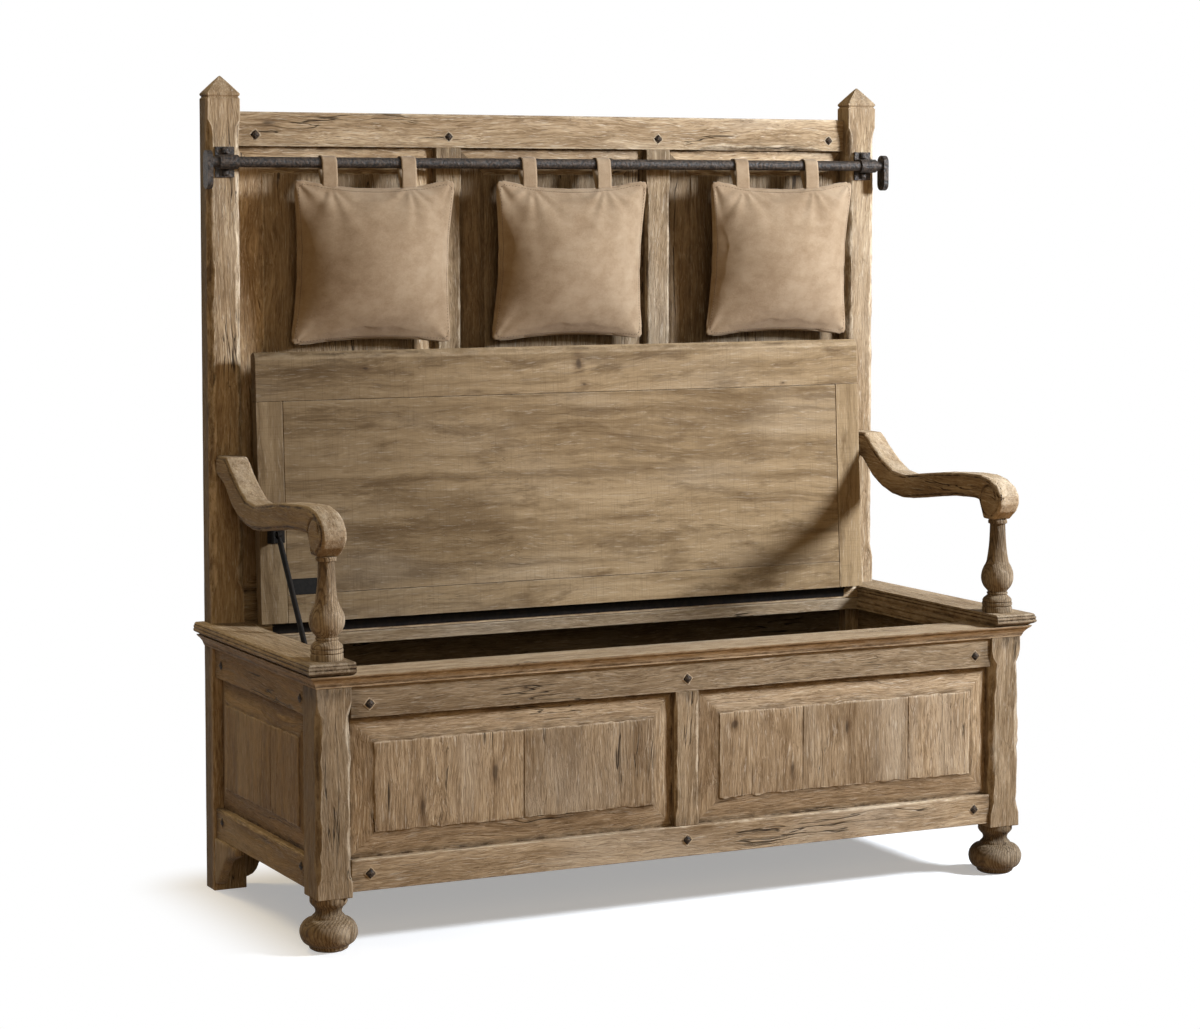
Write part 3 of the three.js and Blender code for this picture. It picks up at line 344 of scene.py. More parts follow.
def wooden(name, points, faces, grain, tone, finish=frame_oak, body="chest", stands_for=(),
           slot="oak", crease=34, place=Matrix.Identity(4)):
    """A wooden piece from its points and faces; grain and tone are one vector for each point,
    or a function of a face's number and a point's."""
    mesh = solid_mesh(name, points, faces)
    for label, values in (("grain", grain), ("tone", tone)):
        domain = "POINT"
        if callable(values):
            domain = "CORNER"
            values = [values(face.index, point) for face in mesh.polygons for point in face.vertices]
        attribute = mesh.attributes.new(label, "FLOAT_VECTOR", domain)
        attribute.data.foreach_set("vector", [x for vector in values for x in vector])
    mesh.transform(place)
    mesh.shade_smooth()
    mesh.set_sharp_from_angle(angle=math.radians(crease))
    mesh.materials.append(finish)
    piece = set_up(name, mesh)
    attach(piece, body)
    if stands_for:
        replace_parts(piece, *stands_for)
    return piece


def worn_bar(name, low, high, along, seed, chamfers=(), wear=0.0013, step=0.012, top=(),
             shade=0.0, ends=(0, 0), worn=0.75, **rest):
    """A bar between two corners, with hand-worn long edges. chamfers holds (edge, start, end,
    reach before, reach after, wave): the edge is counted round the section from its lowest
    corner, places are metres from the low end. top holds (place, inset, scale) levels."""
    first, second = [a for a in range(3) if a != along]
    sides = (high[first] - low[first], high[second] - low[second])
    length = high[along] - low[along]
    end = top[0][0] if top else length
    count = max(3, round(end / step))
    nip, nip_depth = 0.0008, 0.001
    levels = [(0, nip, 1), (nip_depth, 0, 1)]
    levels += [(end * i / count, 0, 1) for i in range(1, count)]
    levels += list(top) if top else [(length - nip_depth, 0, 1), (length, nip, 1)]
    turns = (((0, 0), (0, 1), (1, 0)), ((1, 0), (-1, 0), (0, 1)),
             ((1, 1), (0, -1), (-1, 0)), ((0, 1), (1, 0), (0, -1)))
    guard, runout, hollow, narrow, wide = 0.0026, 0.022, 0.00035, 0.0022, 0.005
    points, grain, tone = [], [], []
    for place, inset, scale in levels:
        edges = []
        for edge, (corner, before, after) in enumerate(turns):
            rub = wear * (0.75 + 0.55 * jitter(seed + edge, place * 22, edge))
            reach = [rub, rub]
            for number, start, stop, reach_before, reach_after, wave in chamfers:
                if number != edge:
                    continue
                inside = ease(start, start + runout, place) * ease(-stop, -stop + runout, -place)
                reach = [
                    max(rub, inside * most * (1 + wave * jitter(seed + edge, place * slow, slow_row)
                                              + share * wave * jitter(seed, place * quick, quick_row)))
                    for most, slow, slow_row, share, quick, quick_row in (
                        (reach_before, 24, 3.3, 0.4, 80, 7.7), (reach_after, 19, 8.1, 0.5, 75, 1.7))
                ]
            at = Vector((corner[0] * sides[0], corner[1] * sides[1]))
            before, after = Vector(before), Vector(after)
            bulge = (before * reach[0] + after * reach[1]) * 0.42
            cut = ease(narrow, wide, max(reach))
            groove = max(0, cut * (0.5 + 0.7 * jitter(seed + edge, place * 14, 6.1)))
            torn = 0.5 + 0.5 * cut
            edges.append([
                (at + before * (reach[0] + guard), 0, 0.5 * groove), (at + before * reach[0], torn, 0),
                (at + bulge, 1 - 0.8 * groove, groove),
                (at + after * reach[1], torn, 0), (at + after * (reach[1] + guard), 0, 0.5 * groove),
            ])
        ring = []
        for edge in range(4):
            ring += edges[edge]
            here, there = edges[edge][-1][0], edges[(edge + 1) % 4][0][0]
            inward = Vector(turns[edge][1])
            for share in (0.33, 0.67):
                dip = hollow * (1 + jitter(seed + edge, place * 9, share * 5))
                ring.append((here.lerp(there, share) + inward * dip, 0, 0))
        middle = Vector((sides[0] / 2, sides[1] / 2))
        for spot, edge, groove in ring:
            away = Vector([math.copysign(max(0, abs(a) - inset), a) * scale for a in spot - middle])
            point = [0, 0, 0]
            point[along] = low[along] + place
            point[first] = low[first] + middle.x + away.x
            point[second] = low[second] + middle.y + away.y
            points.append(point)
            grain.append(grain_place(point, along, seed))
            # Near the ends the bar is darkened: dirt at the joints, and in part a painted shade where the
            # bars meet.
            soil = max(ends[0] * ease(0.03, 0.002, place), ends[1] * ease(0.03, 0.002, length - place))
            tone.append((edge * worn, max(soil, groove), shade(point) if callable(shade) else shade))
    return wooden(name, points, ring_faces(len(levels), len(ring)), grain, tone, **rest)


def worn_node(node, along, seed, chamfers=(), **rest):
    """The worn piece that stands in the place of a CAD solid."""
    return worn_bar(f"old_{node}", *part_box(node), along, seed, chamfers, stands_for=[node], **rest)


post_low, post_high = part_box("back_post_left")


def left_post_painted_light_and_shade(point):
    """Painted light and shade: the left post is painted lighter all over, and its outer face, behind the
    sill and the arm, painted darker.
    """
    return 0.1 - (0.55 if point[0] < post_low.x + 0.003 and point[1] > post_low.y + 0.011 else 0)


for side, seed, shade in (("left", 1.0, left_post_painted_light_and_shade), ("right", 2.0, -0.02)):
    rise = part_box(f"back_post_{side}")[1].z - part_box(f"back_post_{side}")[0].z
    pyramid = [(rise - depth, inset, scale) for depth, inset, scale in (
        (0.0405, 0, 1), (0.0395, 0.0009, 1), (0.0372, 0.0026, 1), (0.035, 0.0009, 1), (0.034, 0, 1),
        (0.0325, 0, 1), (0.031, 0.0003, 1), (0.021, 0, 0.69), (0.0105, 0, 0.37), (0.0012, 0, 0.07),
        (0.0002, 0, 0.03),
    )]
    corners = [(edge, 0.53, 1.375, 0.0095, 0.0095, 0.4) for edge in (0, 1)]
    worn_node(f"back_post_{side}", 2, seed, corners, top=pyramid, shade=shade)


# The front posts: short square posts over the bun feet. Their front corners are cut back in
# long uneven chamfers that stop short of the rails' ends.
# The front posts are darker: partly the wood's tone, partly painted shade on the chest's front.
for side, seed in (("left", 3.0), ("right", 4.0)):
    corners = ((0, 0.02, 0.322, 0.0095, 0.0085, 0.75), (1, 0.018, 0.325, 0.0085, 0.0105, 0.8))
    worn_node(f"front_post_{side}", 2, seed, corners, shade=-0.3, ends=(0, 0.8))


# Bun feet: turned from one block each, a flattened ball under a waisted neck and a collar,
# crackled and rubbed where shoes have met them.
def turned_piece(node, outline, seed, shade, rough=0.0006):
    """A turned piece from (radius share, height share) points; a third value 1 keeps a corner
    sharp, a fourth is dirt there. The points between are smoothed."""
    low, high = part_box(node)
    radius, height = (high.x - low.x) / 2, high.z - low.z
    centre_x, centre_y = (low.x + high.x) / 2, (low.y + high.y) / 2
    spacing, segments = 0.022, 56
    fine, soils = [], []
    for i in range(len(outline) - 1):
        around = [outline[max(0, i - 1)], outline[i], outline[i + 1], outline[min(len(outline) - 1, i + 2)]]
        apart = (Vector(outline[i + 1][:2]) - Vector(outline[i][:2])).length
        steps = max(1, round(apart / spacing))
        for k in range(steps):
            t = k / steps
            soils.append(outline[i][3] if k == 0 and len(outline[i]) > 3 else 0)
            if len(outline[i]) > 2 or len(outline[i + 1]) > 2:
                fine.append([a + (b - a) * t for a, b in zip(outline[i][:2], outline[i + 1][:2])])
                continue
            fine.append([
                0.5 * (2 * b + (c - a) * t + (2 * a - 5 * b + 4 * c - d) * t * t
                       + (3 * b - a - 3 * c + d) * t ** 3)
                for a, b, c, d in zip(*(p[:2] for p in around))
            ])
    fine.append(outline[-1][:2])
    soils.append(0)
    points, grain, tone = [], [], []
    for (share, rise), soil in zip(fine, soils):
        for i in range(segments):
            angle = 2 * math.pi * i / segments
            across, back, up = math.cos(angle), math.sin(angle), rise * height
            ripple = jitter(seed, 2 * across, 2 * back, up * 30)
            chip = max(0, jitter(seed + 3, 9 * across, 9 * back, up * 120) - 0.2)
            reach = max(0, share * radius - rough * (1 + ripple) - 2.2 * rough * chip)
            point = (centre_x + reach * across, centre_y + reach * back, low.z + up)
            points.append(point)
            lean = 0.12 * rise * height * math.sin(seed)
            grain.append((point[2] + seed * 3.17, point[0] - centre_x + 0.034 + lean,
                          point[1] - centre_y + 0.02 * math.cos(seed)))
            tone.append((0.4 * ease(0.82, 1.0, share), max(soil, ease(0.62, 0.46, share) * 0.6), shade))
    return wooden(f"old_{node.removeprefix('arm_')}", points, ring_faces(len(fine), segments),
                  grain, tone, turned_oak, stands_for=[node])


turned_oak = oak_finish("turned_oak", *limed_oak, patches=0.8, rings=0.6)
bun_outline = (
    (0.57, 0, 1), (0.66, 0.03), (0.69, 0.07), (0.7, 0.095, 1), (0.8, 0.12), (0.9, 0.17),
    (0.97, 0.25), (1, 0.34), (0.97, 0.43), (0.89, 0.51), (0.76, 0.575), (0.63, 0.6, 1),
    (0.58, 0.612, 1), (0.57, 0.64), (0.49, 0.685), (0.46, 0.735), (0.5, 0.8), (0.6, 0.86),
    (0.645, 0.9, 1), (0.65, 0.93), (0.65, 1, 1),
)
turned_piece("bun_foot_left", bun_outline, 5.0, -0.3)
turned_piece("bun_foot_right", bun_outline, 6.0, -0.5)


# Chest front: an upper and a lower rail and a short muntin, pegged to the posts, round two
# openings. The edges next to the panels are rubbed and split here and there.
# The front rails are darker: partly the wood's tone, partly painted shade on the chest's front.
worn_node("front_top_rail", 0, 7.0, ((0, 0.7, 1.2, 0.0016, 0.003, 0.9),), ends=(0.5, 0.5), shade=-0.33)
worn_node("front_bottom_rail", 0, 8.0, ((3, 0.66, 1.22, 0.0028, 0.003, 0.9),), ends=(0.5, 0.5), shade=-0.08)
chest_low, chest_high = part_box("front_bottom_rail")[1].z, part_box("front_top_rail")[0].z


def worn_muntin(node, bottom, top, seed, chamfers, **rest):
    """An upright between two rails; the CAD solid's tenons are hidden in the rails."""
    low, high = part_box(node)
    worn_bar(f"old_{node}", (low.x, low.y, bottom), (high.x, high.y, top), 2, seed, chamfers,
             stands_for=[node], **rest)


worn_muntin("front_muntin", chest_low, chest_high, 9.0,
            ((0, 0.012, 0.225, 0.004, 0.0045, 0.6), (1, 0.012, 0.225, 0.0045, 0.004, 0.6)),
            ends=(0.5, 0.5), shade=-0.16)


# Chest sides: the same oak rails, shorter, pegged between the front and the back posts, with
# their edges next to the panels rubbed.
# The side rails are painted lighter, a painted light on the sides away from the key lamp.
for side, seed, upper_edge, lower_edge in (("left", 10.0, 0, 3), ("right", 12.0, 1, 2)):
    worn_node(f"side_top_rail_{side}", 1, seed, ((upper_edge, 0.03, 0.42, 0.0024, 0.0024, 0.8),),
              ends=(0.5, 0.5), shade=0.1)
    worn_node(f"side_bottom_rail_{side}", 1, seed + 1, ((lower_edge, 0.03, 0.42, 0.003, 0.003, 0.8),),
              ends=(0.5, 0.5), shade=0.04)


# Panels: each is glued up from boards and planed down all round to a thin edge, which leaves
# a raised field with ragged ends. Its four bevels are pieces with the grain along them,
# mitred at the corners.
panel_oak = oak_finish(
    "panel_oak", rgb(190, 168, 138), rgb(157, 134, 105), rgb(108, 85, 59), patches=1.1,
    marks=(((-0.364, -0.25, 0.269), (0.013, 0.1, 0.045)), ((-0.557, -0.25, 0.248), (0.0025, 0.1, 0.035)),
           ((-0.496, -0.25, 0.225), (0.012, 0.1, 0.055)), ((0.322, -0.25, 0.297), (0.013, 0.1, 0.035)),
           ((0.211, -0.25, 0.23), (0.014, 0.1, 0.05)), ((0.095, -0.25, 0.32), (0.016, 0.1, 0.02))),
)


def fielded_panel(node, u0, u1, v0, v1, bevel, place, boards, seed, shade, painted_bevel_light=0.05, painted_upper_bevel_light=0.0):
    """A raised panel in an opening u0..u1 by v0..v1; place turns u, v and a height towards
    the viewer into a point. boards are the places of the joints in the field. The last two
    arguments paint the bevels lighter, and the top bevel more: a painted light."""
    tongue, shoulder, slope, step = 0.0087, 0.006, 0.0102, 0.0018
    insets = [-tongue, -0.0004, 0.0012, 0.25 * bevel, 0.5 * bevel, 0.75 * bevel, bevel - 0.001,
              bevel, bevel + 0.0008, bevel + 0.004]
    inner, last = 2, len(insets) - 1
    foot, brink = last - 2, last - 1

    def lines(start, stop, spacing, joints):
        first, end = start + insets[-1], stop - insets[-1]
        count = max(2, round((end - first) / spacing))
        between = [first + (end - first) * i / count for i in range(1, count)]
        for joint in joints:
            between = [x for x in between if abs(x - joint) > 0.0035]
            between += [joint - 0.0016, joint, joint + 0.0016]
        return [start + x for x in insets] + sorted(between) + [stop - x for x in reversed(insets)]

    us, vs = lines(u0, u1, 0.007, boards), lines(v0, v1, 0.011, ())
    columns, rows = len(us), len(vs)
    flat = [(u, v) for v in vs for u in us]
    points, tone = [], []
    for k, (u, v) in enumerate(flat):
        ring_u = min(k % columns, columns - 1 - k % columns)
        ring_v = min(k // columns, rows - 1 - k // columns)
        ring = min(ring_u, ring_v, last)
        at_joint = any(abs(u - joint) < 0.0002 for joint in boards)
        x, y, rub, soil = u, v, 0.0, 0.0
        height = shoulder + slope * min(1, max(0, insets[ring] / bevel)) ** 1.08
        if inner <= ring < foot:
            height += 0.0005 * jitter(seed, u * 18, v * 18) + 0.0002 * jitter(seed, u * 90, v * 90)
        if ring <= inner:
            soil = 0.9
        elif ring in (foot - 1, foot):
            soil = 0.55
        if ring in (foot, brink):
            fray = 0.0019 * jitter(seed, u * 60, v * 60, 2) + 0.0012 * jitter(seed, u * 240, v * 240, 5)
            y += fray * 1.2 * (ring_v in (foot, brink))
            x += fray * 0.4 * (ring_u in (foot, brink))
        if ring >= brink:
            height += step
            soil = 0.8 * at_joint
        if ring == brink:
            height -= 0.0006 + 0.0009 * max(0, jitter(seed, u * 140, v * 140, 9))
            rub = 0.7
        if ring == last:
            height += 0.0004 * jitter(seed, u * 14, v * 6)
            height -= 0.0016 * (0.7 + 0.5 * jitter(seed, v * 12)) * at_joint
        points.append(Vector(place(x, y, height)))
        tone.append((rub, soil))

    faces, cuts = [], []

    def cut(u, v, bevelled=False, level=False):
        """Whether a face's grain runs level, its own place in the log, its shade, which on the
        bevels holds a painted light, and whether its edges are rubbed."""
        board = sum(1 for joint in boards if u > joint)
        if not bevelled:
            return False, seed + 7.3 * board, 0.05 * math.sin(9.1 * board + seed), 1
        if not level:
            return False, seed + (23 if u - u0 < u1 - u else 20), painted_bevel_light, 0
        lighter = painted_bevel_light + (painted_upper_bevel_light if 2 * v > v0 + v1 else 0)
        return True, seed + (25 if v - v0 < v1 - v else 20), lighter, 0

    for j in range(rows - 1):
        for i in range(columns - 1):
            a = j * columns + i
            b, c, d = a + 1, a + 1 + columns, a + columns
            side_u, side_v = min(i, columns - 2 - i), min(j, rows - 2 - j)
            cells = ((a, b, c, d),)
            if side_u == side_v < last:
                rising = (i < columns / 2) == (j < rows / 2)
                cells = ((a, b, c), (a, c, d)) if rising else ((a, b, d), (b, c, d))
            for cell in cells:
                middle = sum((Vector(flat[k]) for k in cell), Vector((0, 0))) / len(cell)
                to_side, to_level = min(middle.x - u0, u1 - middle.x), min(middle.y - v0, v1 - middle.y)
                faces.append(cell)
                cuts.append(cut(us[i] + 0.0005, vs[j] + 0.0005, min(side_u, side_v) < brink,
                                to_side >= to_level))
    rim = list(range(columns)) + [j * columns + columns - 1 for j in range(1, rows)]
    rim += [(rows - 1) * columns + i for i in range(columns - 2, -1, -1)]
    rim += [j * columns for j in range(rows - 2, 0, -1)]
    front, back = len(flat), len(rim)
    flat += [flat[k] for k in rim]
    points += [Vector(place(u, v, 0)) for u, v in flat[front:]]
    tone += [(0, 0)] * back
    faces += [(rim[k], front + k, front + (k + 1) % back, rim[(k + 1) % back]) for k in range(back)]
    faces.append(tuple(range(front, front + back)))
    cuts += [cut(u0, v0)] * (back + 1)

    def grain(number, index):
        level, own = cuts[number][:2]
        u, v = flat[index]
        return (u + own * 3.17, v + own * 1.31, own) if level else (v + own * 3.17, u + own * 1.31, own)

    def toned(number, index):
        rub, soil = tone[index]
        lighter, rubbed = cuts[number][2:]
        return (rub * rubbed, soil, shade + lighter)

    wooden(f"old_{node}", points, faces, grain, toned, panel_oak, slot="panel_oak", stands_for=[node],
           crease=38)


front_x, muntin_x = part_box("front_top_rail")[1].x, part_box("front_muntin")[1].x
front_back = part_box("front_panel_left")[1].y
# The front panels are darker: partly the wood's tone, partly painted shade on the chest's front.
for side, start, stop, joints, seed, shade in (
    ("left", -front_x, -muntin_x, (-0.311,), 14.0, -0.15),
    ("right", muntin_x, front_x, (0.232, 0.45), 15.0, -0.13),
):
    fielded_panel(f"front_panel_{side}", start, stop, chest_low, chest_high, 0.042,
                  lambda u, v, h: (u, front_back - h, v), joints, seed, shade)
side_low, side_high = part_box("side_top_rail_left")
side_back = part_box("side_panel_left")[1].x
# The side panels are painted a little lighter too, a painted light.
for side, sign, joint, seed in (("left", 1, -0.03, 16.0), ("right", -1, 0.08, 17.0)):
    fielded_panel(f"side_panel_{side}", side_low.y, side_high.y, chest_low, chest_high, 0.042,
                  lambda u, v, h: (sign * (side_back - h), u, v), (joint,), seed, 0.05)


# Sawn brackets brace each back post under the chest, one at the side and one behind; the
# chest back and floor are plain boards, their inside painted nearly black, a painted shade.
def settled_mesh(piece):
    """The piece's mesh with its modifiers worked in."""
    return bpy.data.meshes.new_from_object(piece.evaluated_get(bpy.context.evaluated_depsgraph_get()))


def softened(node, along, seed, cell=0.0025, smoothing=3, relief=0.0004, tone_of=None,
             carved=None, shade=0.0, **rest):
    """A copy of a CAD solid, with its corners worn round."""
    copy = set_up(f"old_{node}_rough", frame["nodes"][node].data.copy())
    copy.data.materials.clear()
    remesh = copy.modifiers.new("REMESH", "REMESH")
    remesh.mode, remesh.voxel_size = "VOXEL", cell
    smooth = copy.modifiers.new("SMOOTH", "SMOOTH")
    smooth.factor, smooth.iterations = 0.5, smoothing
    shaped = settled_mesh(copy)
    bpy.data.objects.remove(copy)
    points, tone = [], []
    for vertex in shaped.vertices:
        dip = relief * (0.5 + 0.5 * jitter(seed, *(vertex.co * 28)) + 0.4 * jitter(seed, *(vertex.co * 90)))
        groove = carved(vertex.co, vertex.normal) if carved else 0
        points.append(vertex.co - vertex.normal * (max(0, dip) + 0.0022 * groove))
        tone.append((tone_of(points[-1], vertex.normal) if tone_of else (0, 0)) + (shade,))
    grain = [grain_place(point, along, seed) for point in points]
    faces = [tuple(face.vertices) for face in shaped.polygons]
    bpy.data.meshes.remove(shaped)
    wooden(f"old_{node}", points, faces, grain, tone, stands_for=[node], **rest)


for side, seed in (("left", 18.0), ("right", 19.0)):
    softened(f"side_bracket_{side}", 2, seed, 0.003)
    softened(f"back_bracket_{side}", 2, seed + 0.5, 0.003)
# The back board's inner face and the floor are painted dark: painted shade inside the chest.
inner_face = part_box("chest_back_board")[0].y + 0.003
worn_node("chest_back_board", 0, 20.0, step=0.03,
          shade=lambda point: -0.72 if point[1] < inner_face else -0.05)
worn_node("chest_floor", 0, 21.0, step=0.03, finish=panel_oak, shade=-0.7, slot="panel_oak")


# The sill: four boards laid flat on the posts and rails, their outer edges worked to a cove
# under the seat. The lid drops on to them.
def moulded_slab(node, plan, profile, overhang, along, seed, shade):
    """A flat board whose outline at each level is plan(reach). profile holds shares of the
    overhang and of the board's height, then how much it is rubbed and how dirty it is."""
    low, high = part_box(node)
    wear, fillet, spacing, deepest_sag = 0.0009, 0.001, 0.011, 0.0005
    base = plan(0)
    counts = [max(1, round((Vector(b) - Vector(a)).length / spacing))
              for a, b in zip(base, base[1:] + base[:1])]
    points, grain, tone = [], [], []
    for share, rise, rub, soil in profile:
        height, reach = low.z + rise * (high.z - low.z), share * overhang
        full, less = [[Vector(corner) for corner in plan(r)] for r in (reach, reach - fillet)]
        for k, count in enumerate(counts):
            after = (k + 1) % len(full)
            for i in range(count):
                outer, inner = [line[k].lerp(line[after], i / count) for line in (full, less)]
                pull = wear / fillet * (0.5 + 0.5 * jitter(seed, outer.x * 20, outer.y * 20, height * 60)
                                        + 0.35 * jitter(seed, outer.x * 75, outer.y * 75, 4)) * rub
                spot = outer.lerp(inner, max(0, pull))
                sag = deepest_sag * rub * max(0, jitter(seed, outer.x * 16, outer.y * 16, 5.5))
                point = (spot.x, spot.y, height - (sag if height > low.z + 0.004 else 0))
                points.append(point)
                grain.append(grain_place(point, along, seed))
                tone.append((0.65 * rub, soil, shade(point)))
    faces = ring_faces(len(profile), sum(counts))
    wooden(f"old_{node}", points, faces, grain, tone, stands_for=[node])


sill_reach = 0.015
# The rub on the cove's middle levels wears them and also paints them paler, in part a painted light.
sill_profile = (
    (0.06, 0, 0.4, 0), (0.12, 0.1, 0.5, 0), (0.13, 0.16, 0, 0.8), (0.2, 0.24, 0, 0.7),
    (0.26, 0.36, 0.3, 0.1), (0.38, 0.48, 0.4, 0), (0.53, 0.62, 0.4, 0), (0.6, 0.66, 0.3, 0),
    (0.62, 0.71, 0, 0.8), (0.74, 0.76, 0, 0.6), (0.9, 0.86, 0.4, 0), (0.97, 0.92, 0.8, 0),
    (1, 1, 0.3, 0),
)
sill_low, sill_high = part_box("sill_front")
face_x, face_y = sill_high.x - sill_reach, sill_low.y + sill_reach


def cove_painted_light(point):
    """The cove is painted paler than the top, a painted light."""
    return 0.12 * ease(sill_high.z - 0.001, sill_high.z - 0.006, point[2])


moulded_slab(
    "sill_front",
    lambda reach: [(-face_x - reach, face_y - reach), (face_x + reach, face_y - reach),
                   (face_x + reach, sill_high.y), (-face_x - reach, sill_high.y)],
    sill_profile, sill_reach, 0, 22.0, cove_painted_light,
)
ledge_low, ledge_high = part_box("sill_side_left")
strip_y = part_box("sill_back")[0].y
play = 0.0003


def mirrored(side, corners):
    return [(x if side == "left" else -x, y) for x, y in corners]


for side, seed in (("left", 23.0), ("right", 24.0)):
    moulded_slab(
        f"sill_side_{side}",
        lambda reach: mirrored(side, [
            (-face_x - reach, ledge_low.y), (ledge_high.x, ledge_low.y), (ledge_high.x, strip_y - play),
            (post_high.x - play, strip_y - play), (post_high.x - play, post_low.y - play),
            (-face_x - play, post_low.y - play), (-face_x - play, ledge_high.y),
            (-face_x - reach, ledge_high.y),
        ]),
        sill_profile, sill_reach, 1, seed, cove_painted_light,
    )
# The back strip is painted darker, a painted shadow of the lid.
worn_node("sill_back", 0, 25.0, step=0.02, shade=-0.38)


# Seat boards: one at each side of the lid, rounded along the front and the outer edge and
# notched round the back post, and a narrow strip between the lid and the back.
nose_reach = 0.021
nose_profile = (
    (0.43, 0, 0.3, 0), (0.6, 0.1, 0, 0.5), (0.82, 0.2, 0, 0.7), (0.97, 0.3, 0.3, 0.3),
    (1, 0.36, 0.7, 0), (1, 0.46, 0.6, 0), (0.93, 0.5, 0, 0.95), (0.93, 0.58, 0, 0.95),
    (0.975, 0.62, 0.7, 0), (0.96, 0.74, 0.6, 0), (0.89, 0.78, 0, 0.95), (0.88, 0.84, 0, 0.8),
    (0.895, 0.86, 0.5, 0), (0.86, 0.93, 1, 0), (0.78, 0.99, 0.8, 0), (0.74, 1, 0, 0),
)
board_low, board_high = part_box("seat_board_left")
nose_dark = board_low.y + 0.03


def nose_shade(point):
    """The boards are darkest at the front, round the balusters' feet."""
    return -0.06 - 0.34 * ease(nose_dark + 0.05, nose_dark, point[1])


for side, seed in (("left", 26.0), ("right", 27.0)):
    moulded_slab(
        f"seat_board_{side}",
        lambda reach: mirrored(side, [
            (-face_x - reach, face_y - reach), (board_high.x, face_y - reach),
            (board_high.x, post_low.y - play), (-face_x - play, post_low.y - play),
            (-face_x - play, ledge_high.y), (-face_x - reach, ledge_high.y),
        ]),
        nose_profile, nose_reach, 1, seed, nose_shade,
    )
whole_edge = (-1, 9)
worn_node("seat_back_strip", 0, 28.0, ((3, *whole_edge, 0.0045, 0.0045, 0.0),))


# The panelled back: a top rail and a seat rail between the posts, two muntins, and three
# tall raised panels. The top rail's lower edge is chamfered in the last bay.
low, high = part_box("back_top_rail")
rail_high, rail_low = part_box("back_seat_rail")[1].z, low.z
muntin_low, muntin_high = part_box("back_muntin_left")
bays = ((low.x, muntin_low.x), (muntin_high.x, -muntin_high.x), (-muntin_low.x, high.x))
worn_node(
    "back_top_rail", 0, 29.0,
    ((0, bays[2][0] - low.x + 0.055, bays[2][1] - low.x - 0.05, 0.0075, 0.0065, 0.45),
     (3, *whole_edge, 0.0022, 0.0022, 0.8)),
    ends=(0.4, 0.4), shade=0.07,
)
worn_node("back_seat_rail", 0, 30.0, ((3, *whole_edge, 0.003, 0.003, 0.6),))
for side, seed in (("left", 31.0), ("right", 32.0)):
    worn_muntin(f"back_muntin_{side}", rail_high, rail_low, seed,
                [(edge, 0.04, 0.735, 0.0045, 0.0045, 0.5) for edge in (0, 1)], ends=(0.4, 0.4), shade=-0.2)
back_panel_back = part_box("back_panel_center")[1].y
# The centre and right panels are darker wood, and darker still as a painted shadow of the cushions; all
# three have their bevels painted lighter, a painted light.
for side, bay, joint, seed, shade, painted_bevel_light, painted_upper_bevel_light in (
    ("left", bays[0], -0.44, 33.0, -0.2, 0.5, 0.0),
    ("center", bays[1], 0.04, 34.0, -0.48, 0.1, 0.55),
    ("right", bays[2], 0.43, 35.0, -0.46, 0.1, 0.6),
):
    fielded_panel(f"back_panel_{side}", *bay, rail_high, rail_low, 0.047,
                  lambda u, v, h: (u, back_panel_back - h, v), (joint,), seed, shade, painted_bevel_light, painted_upper_bevel_light)


# Nails: square forged heads set on the diamond, one through each joint of the frame, each in
# a small sinking whose edge has chipped pale.
def plain_piece(name, points, faces, finish, smooth=True):
    mesh = solid_mesh(name, points, faces)
    if smooth:
        mesh.shade_smooth()
    mesh.materials.append(finish)
    return set_up(name, mesh)


def carried(piece, body):
    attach(piece, body)


def forged_head(spot, face, size, turn, seed, rings, steps):
    """A hammered square head; face is the way it looks, rings are (share of size, height)."""
    outward, across, up = Vector((*face, 0)), Vector((-face[1], face[0], 0)), Vector((0, 0, 1))
    points = []
    for number, (share, height) in enumerate(rings):
        for k in range(steps):
            angle = 2 * math.pi * k / steps
            square = 1 / max(abs(math.cos(angle)), abs(math.sin(angle)))
            dented = 1 + 0.12 * jitter(seed, 2 * angle, number * 2.2)
            reach = size * share * (0.25 + 0.75 * square) * dented
            points.append(
                Vector(spot) + across * (reach * math.cos(angle + turn))
                + up * (reach * math.sin(angle + turn)) + outward * height
            )
    return points, ring_faces(len(rings), steps)


def clouded_metal(name, scale, clear, dark, bright, rough, relief, metallic):
    """Dark metal under a cloudy film; clear is where the film starts and ends to thin out."""
    material, metal = new_material(name)
    film = metal.node("TexCoord", {}, "Object").noise((scale, scale, scale), 3.0, 0.6)
    finished(metal, film.between(*clear).mixed(dark, bright), film.between(0.3, 0.7, rough, 0.7), 0.12,
             (*relief, film), Metallic=metallic)
    return material


nail_iron = clouded_metal("nail_iron", 420.0, (0.4, 0.66), rgb(17, 13, 10), rgb(84, 70, 57), 0.4,
                          (0.6, 0.001), 0.05)
nail_rings = ((0.98, -0.002), (1, 0.0004), (0.8, 0.0017), (0.42, 0.0031), (0.1, 0.0037))
sinking_rings = ((1.36, -0.001), (1.34, 0.0001), (1.2, 0.0004), (1.04, 0.0003), (1, -0.001))
sinking_tones = ((0.2, 0, -0.1), (0.55, 0, -0.1), (0.55, 0, -0.1), (0.2, 0.9, -0.1), (0.2, 0.9, -0.1))
front_face, back_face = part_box("front_top_rail")[0].y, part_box("back_top_rail")[0].y
side_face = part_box("side_top_rail_right")[1].x
nail_places = [((x, back_face, 1.3465), (0, -1)) for x in (-0.591, -0.216, 0.216, 0.591)]
nail_places += [((x, front_face, z), (0, -1)) for z in (0.406, 0.1245) for x in (-0.591, 0, 0.591)]
nail_places += [((sign * side_face, y, z), (sign, 0))
                for sign in (-1, 1) for y in (-0.179, 0.212) for z in (0.41, 0.1295)]
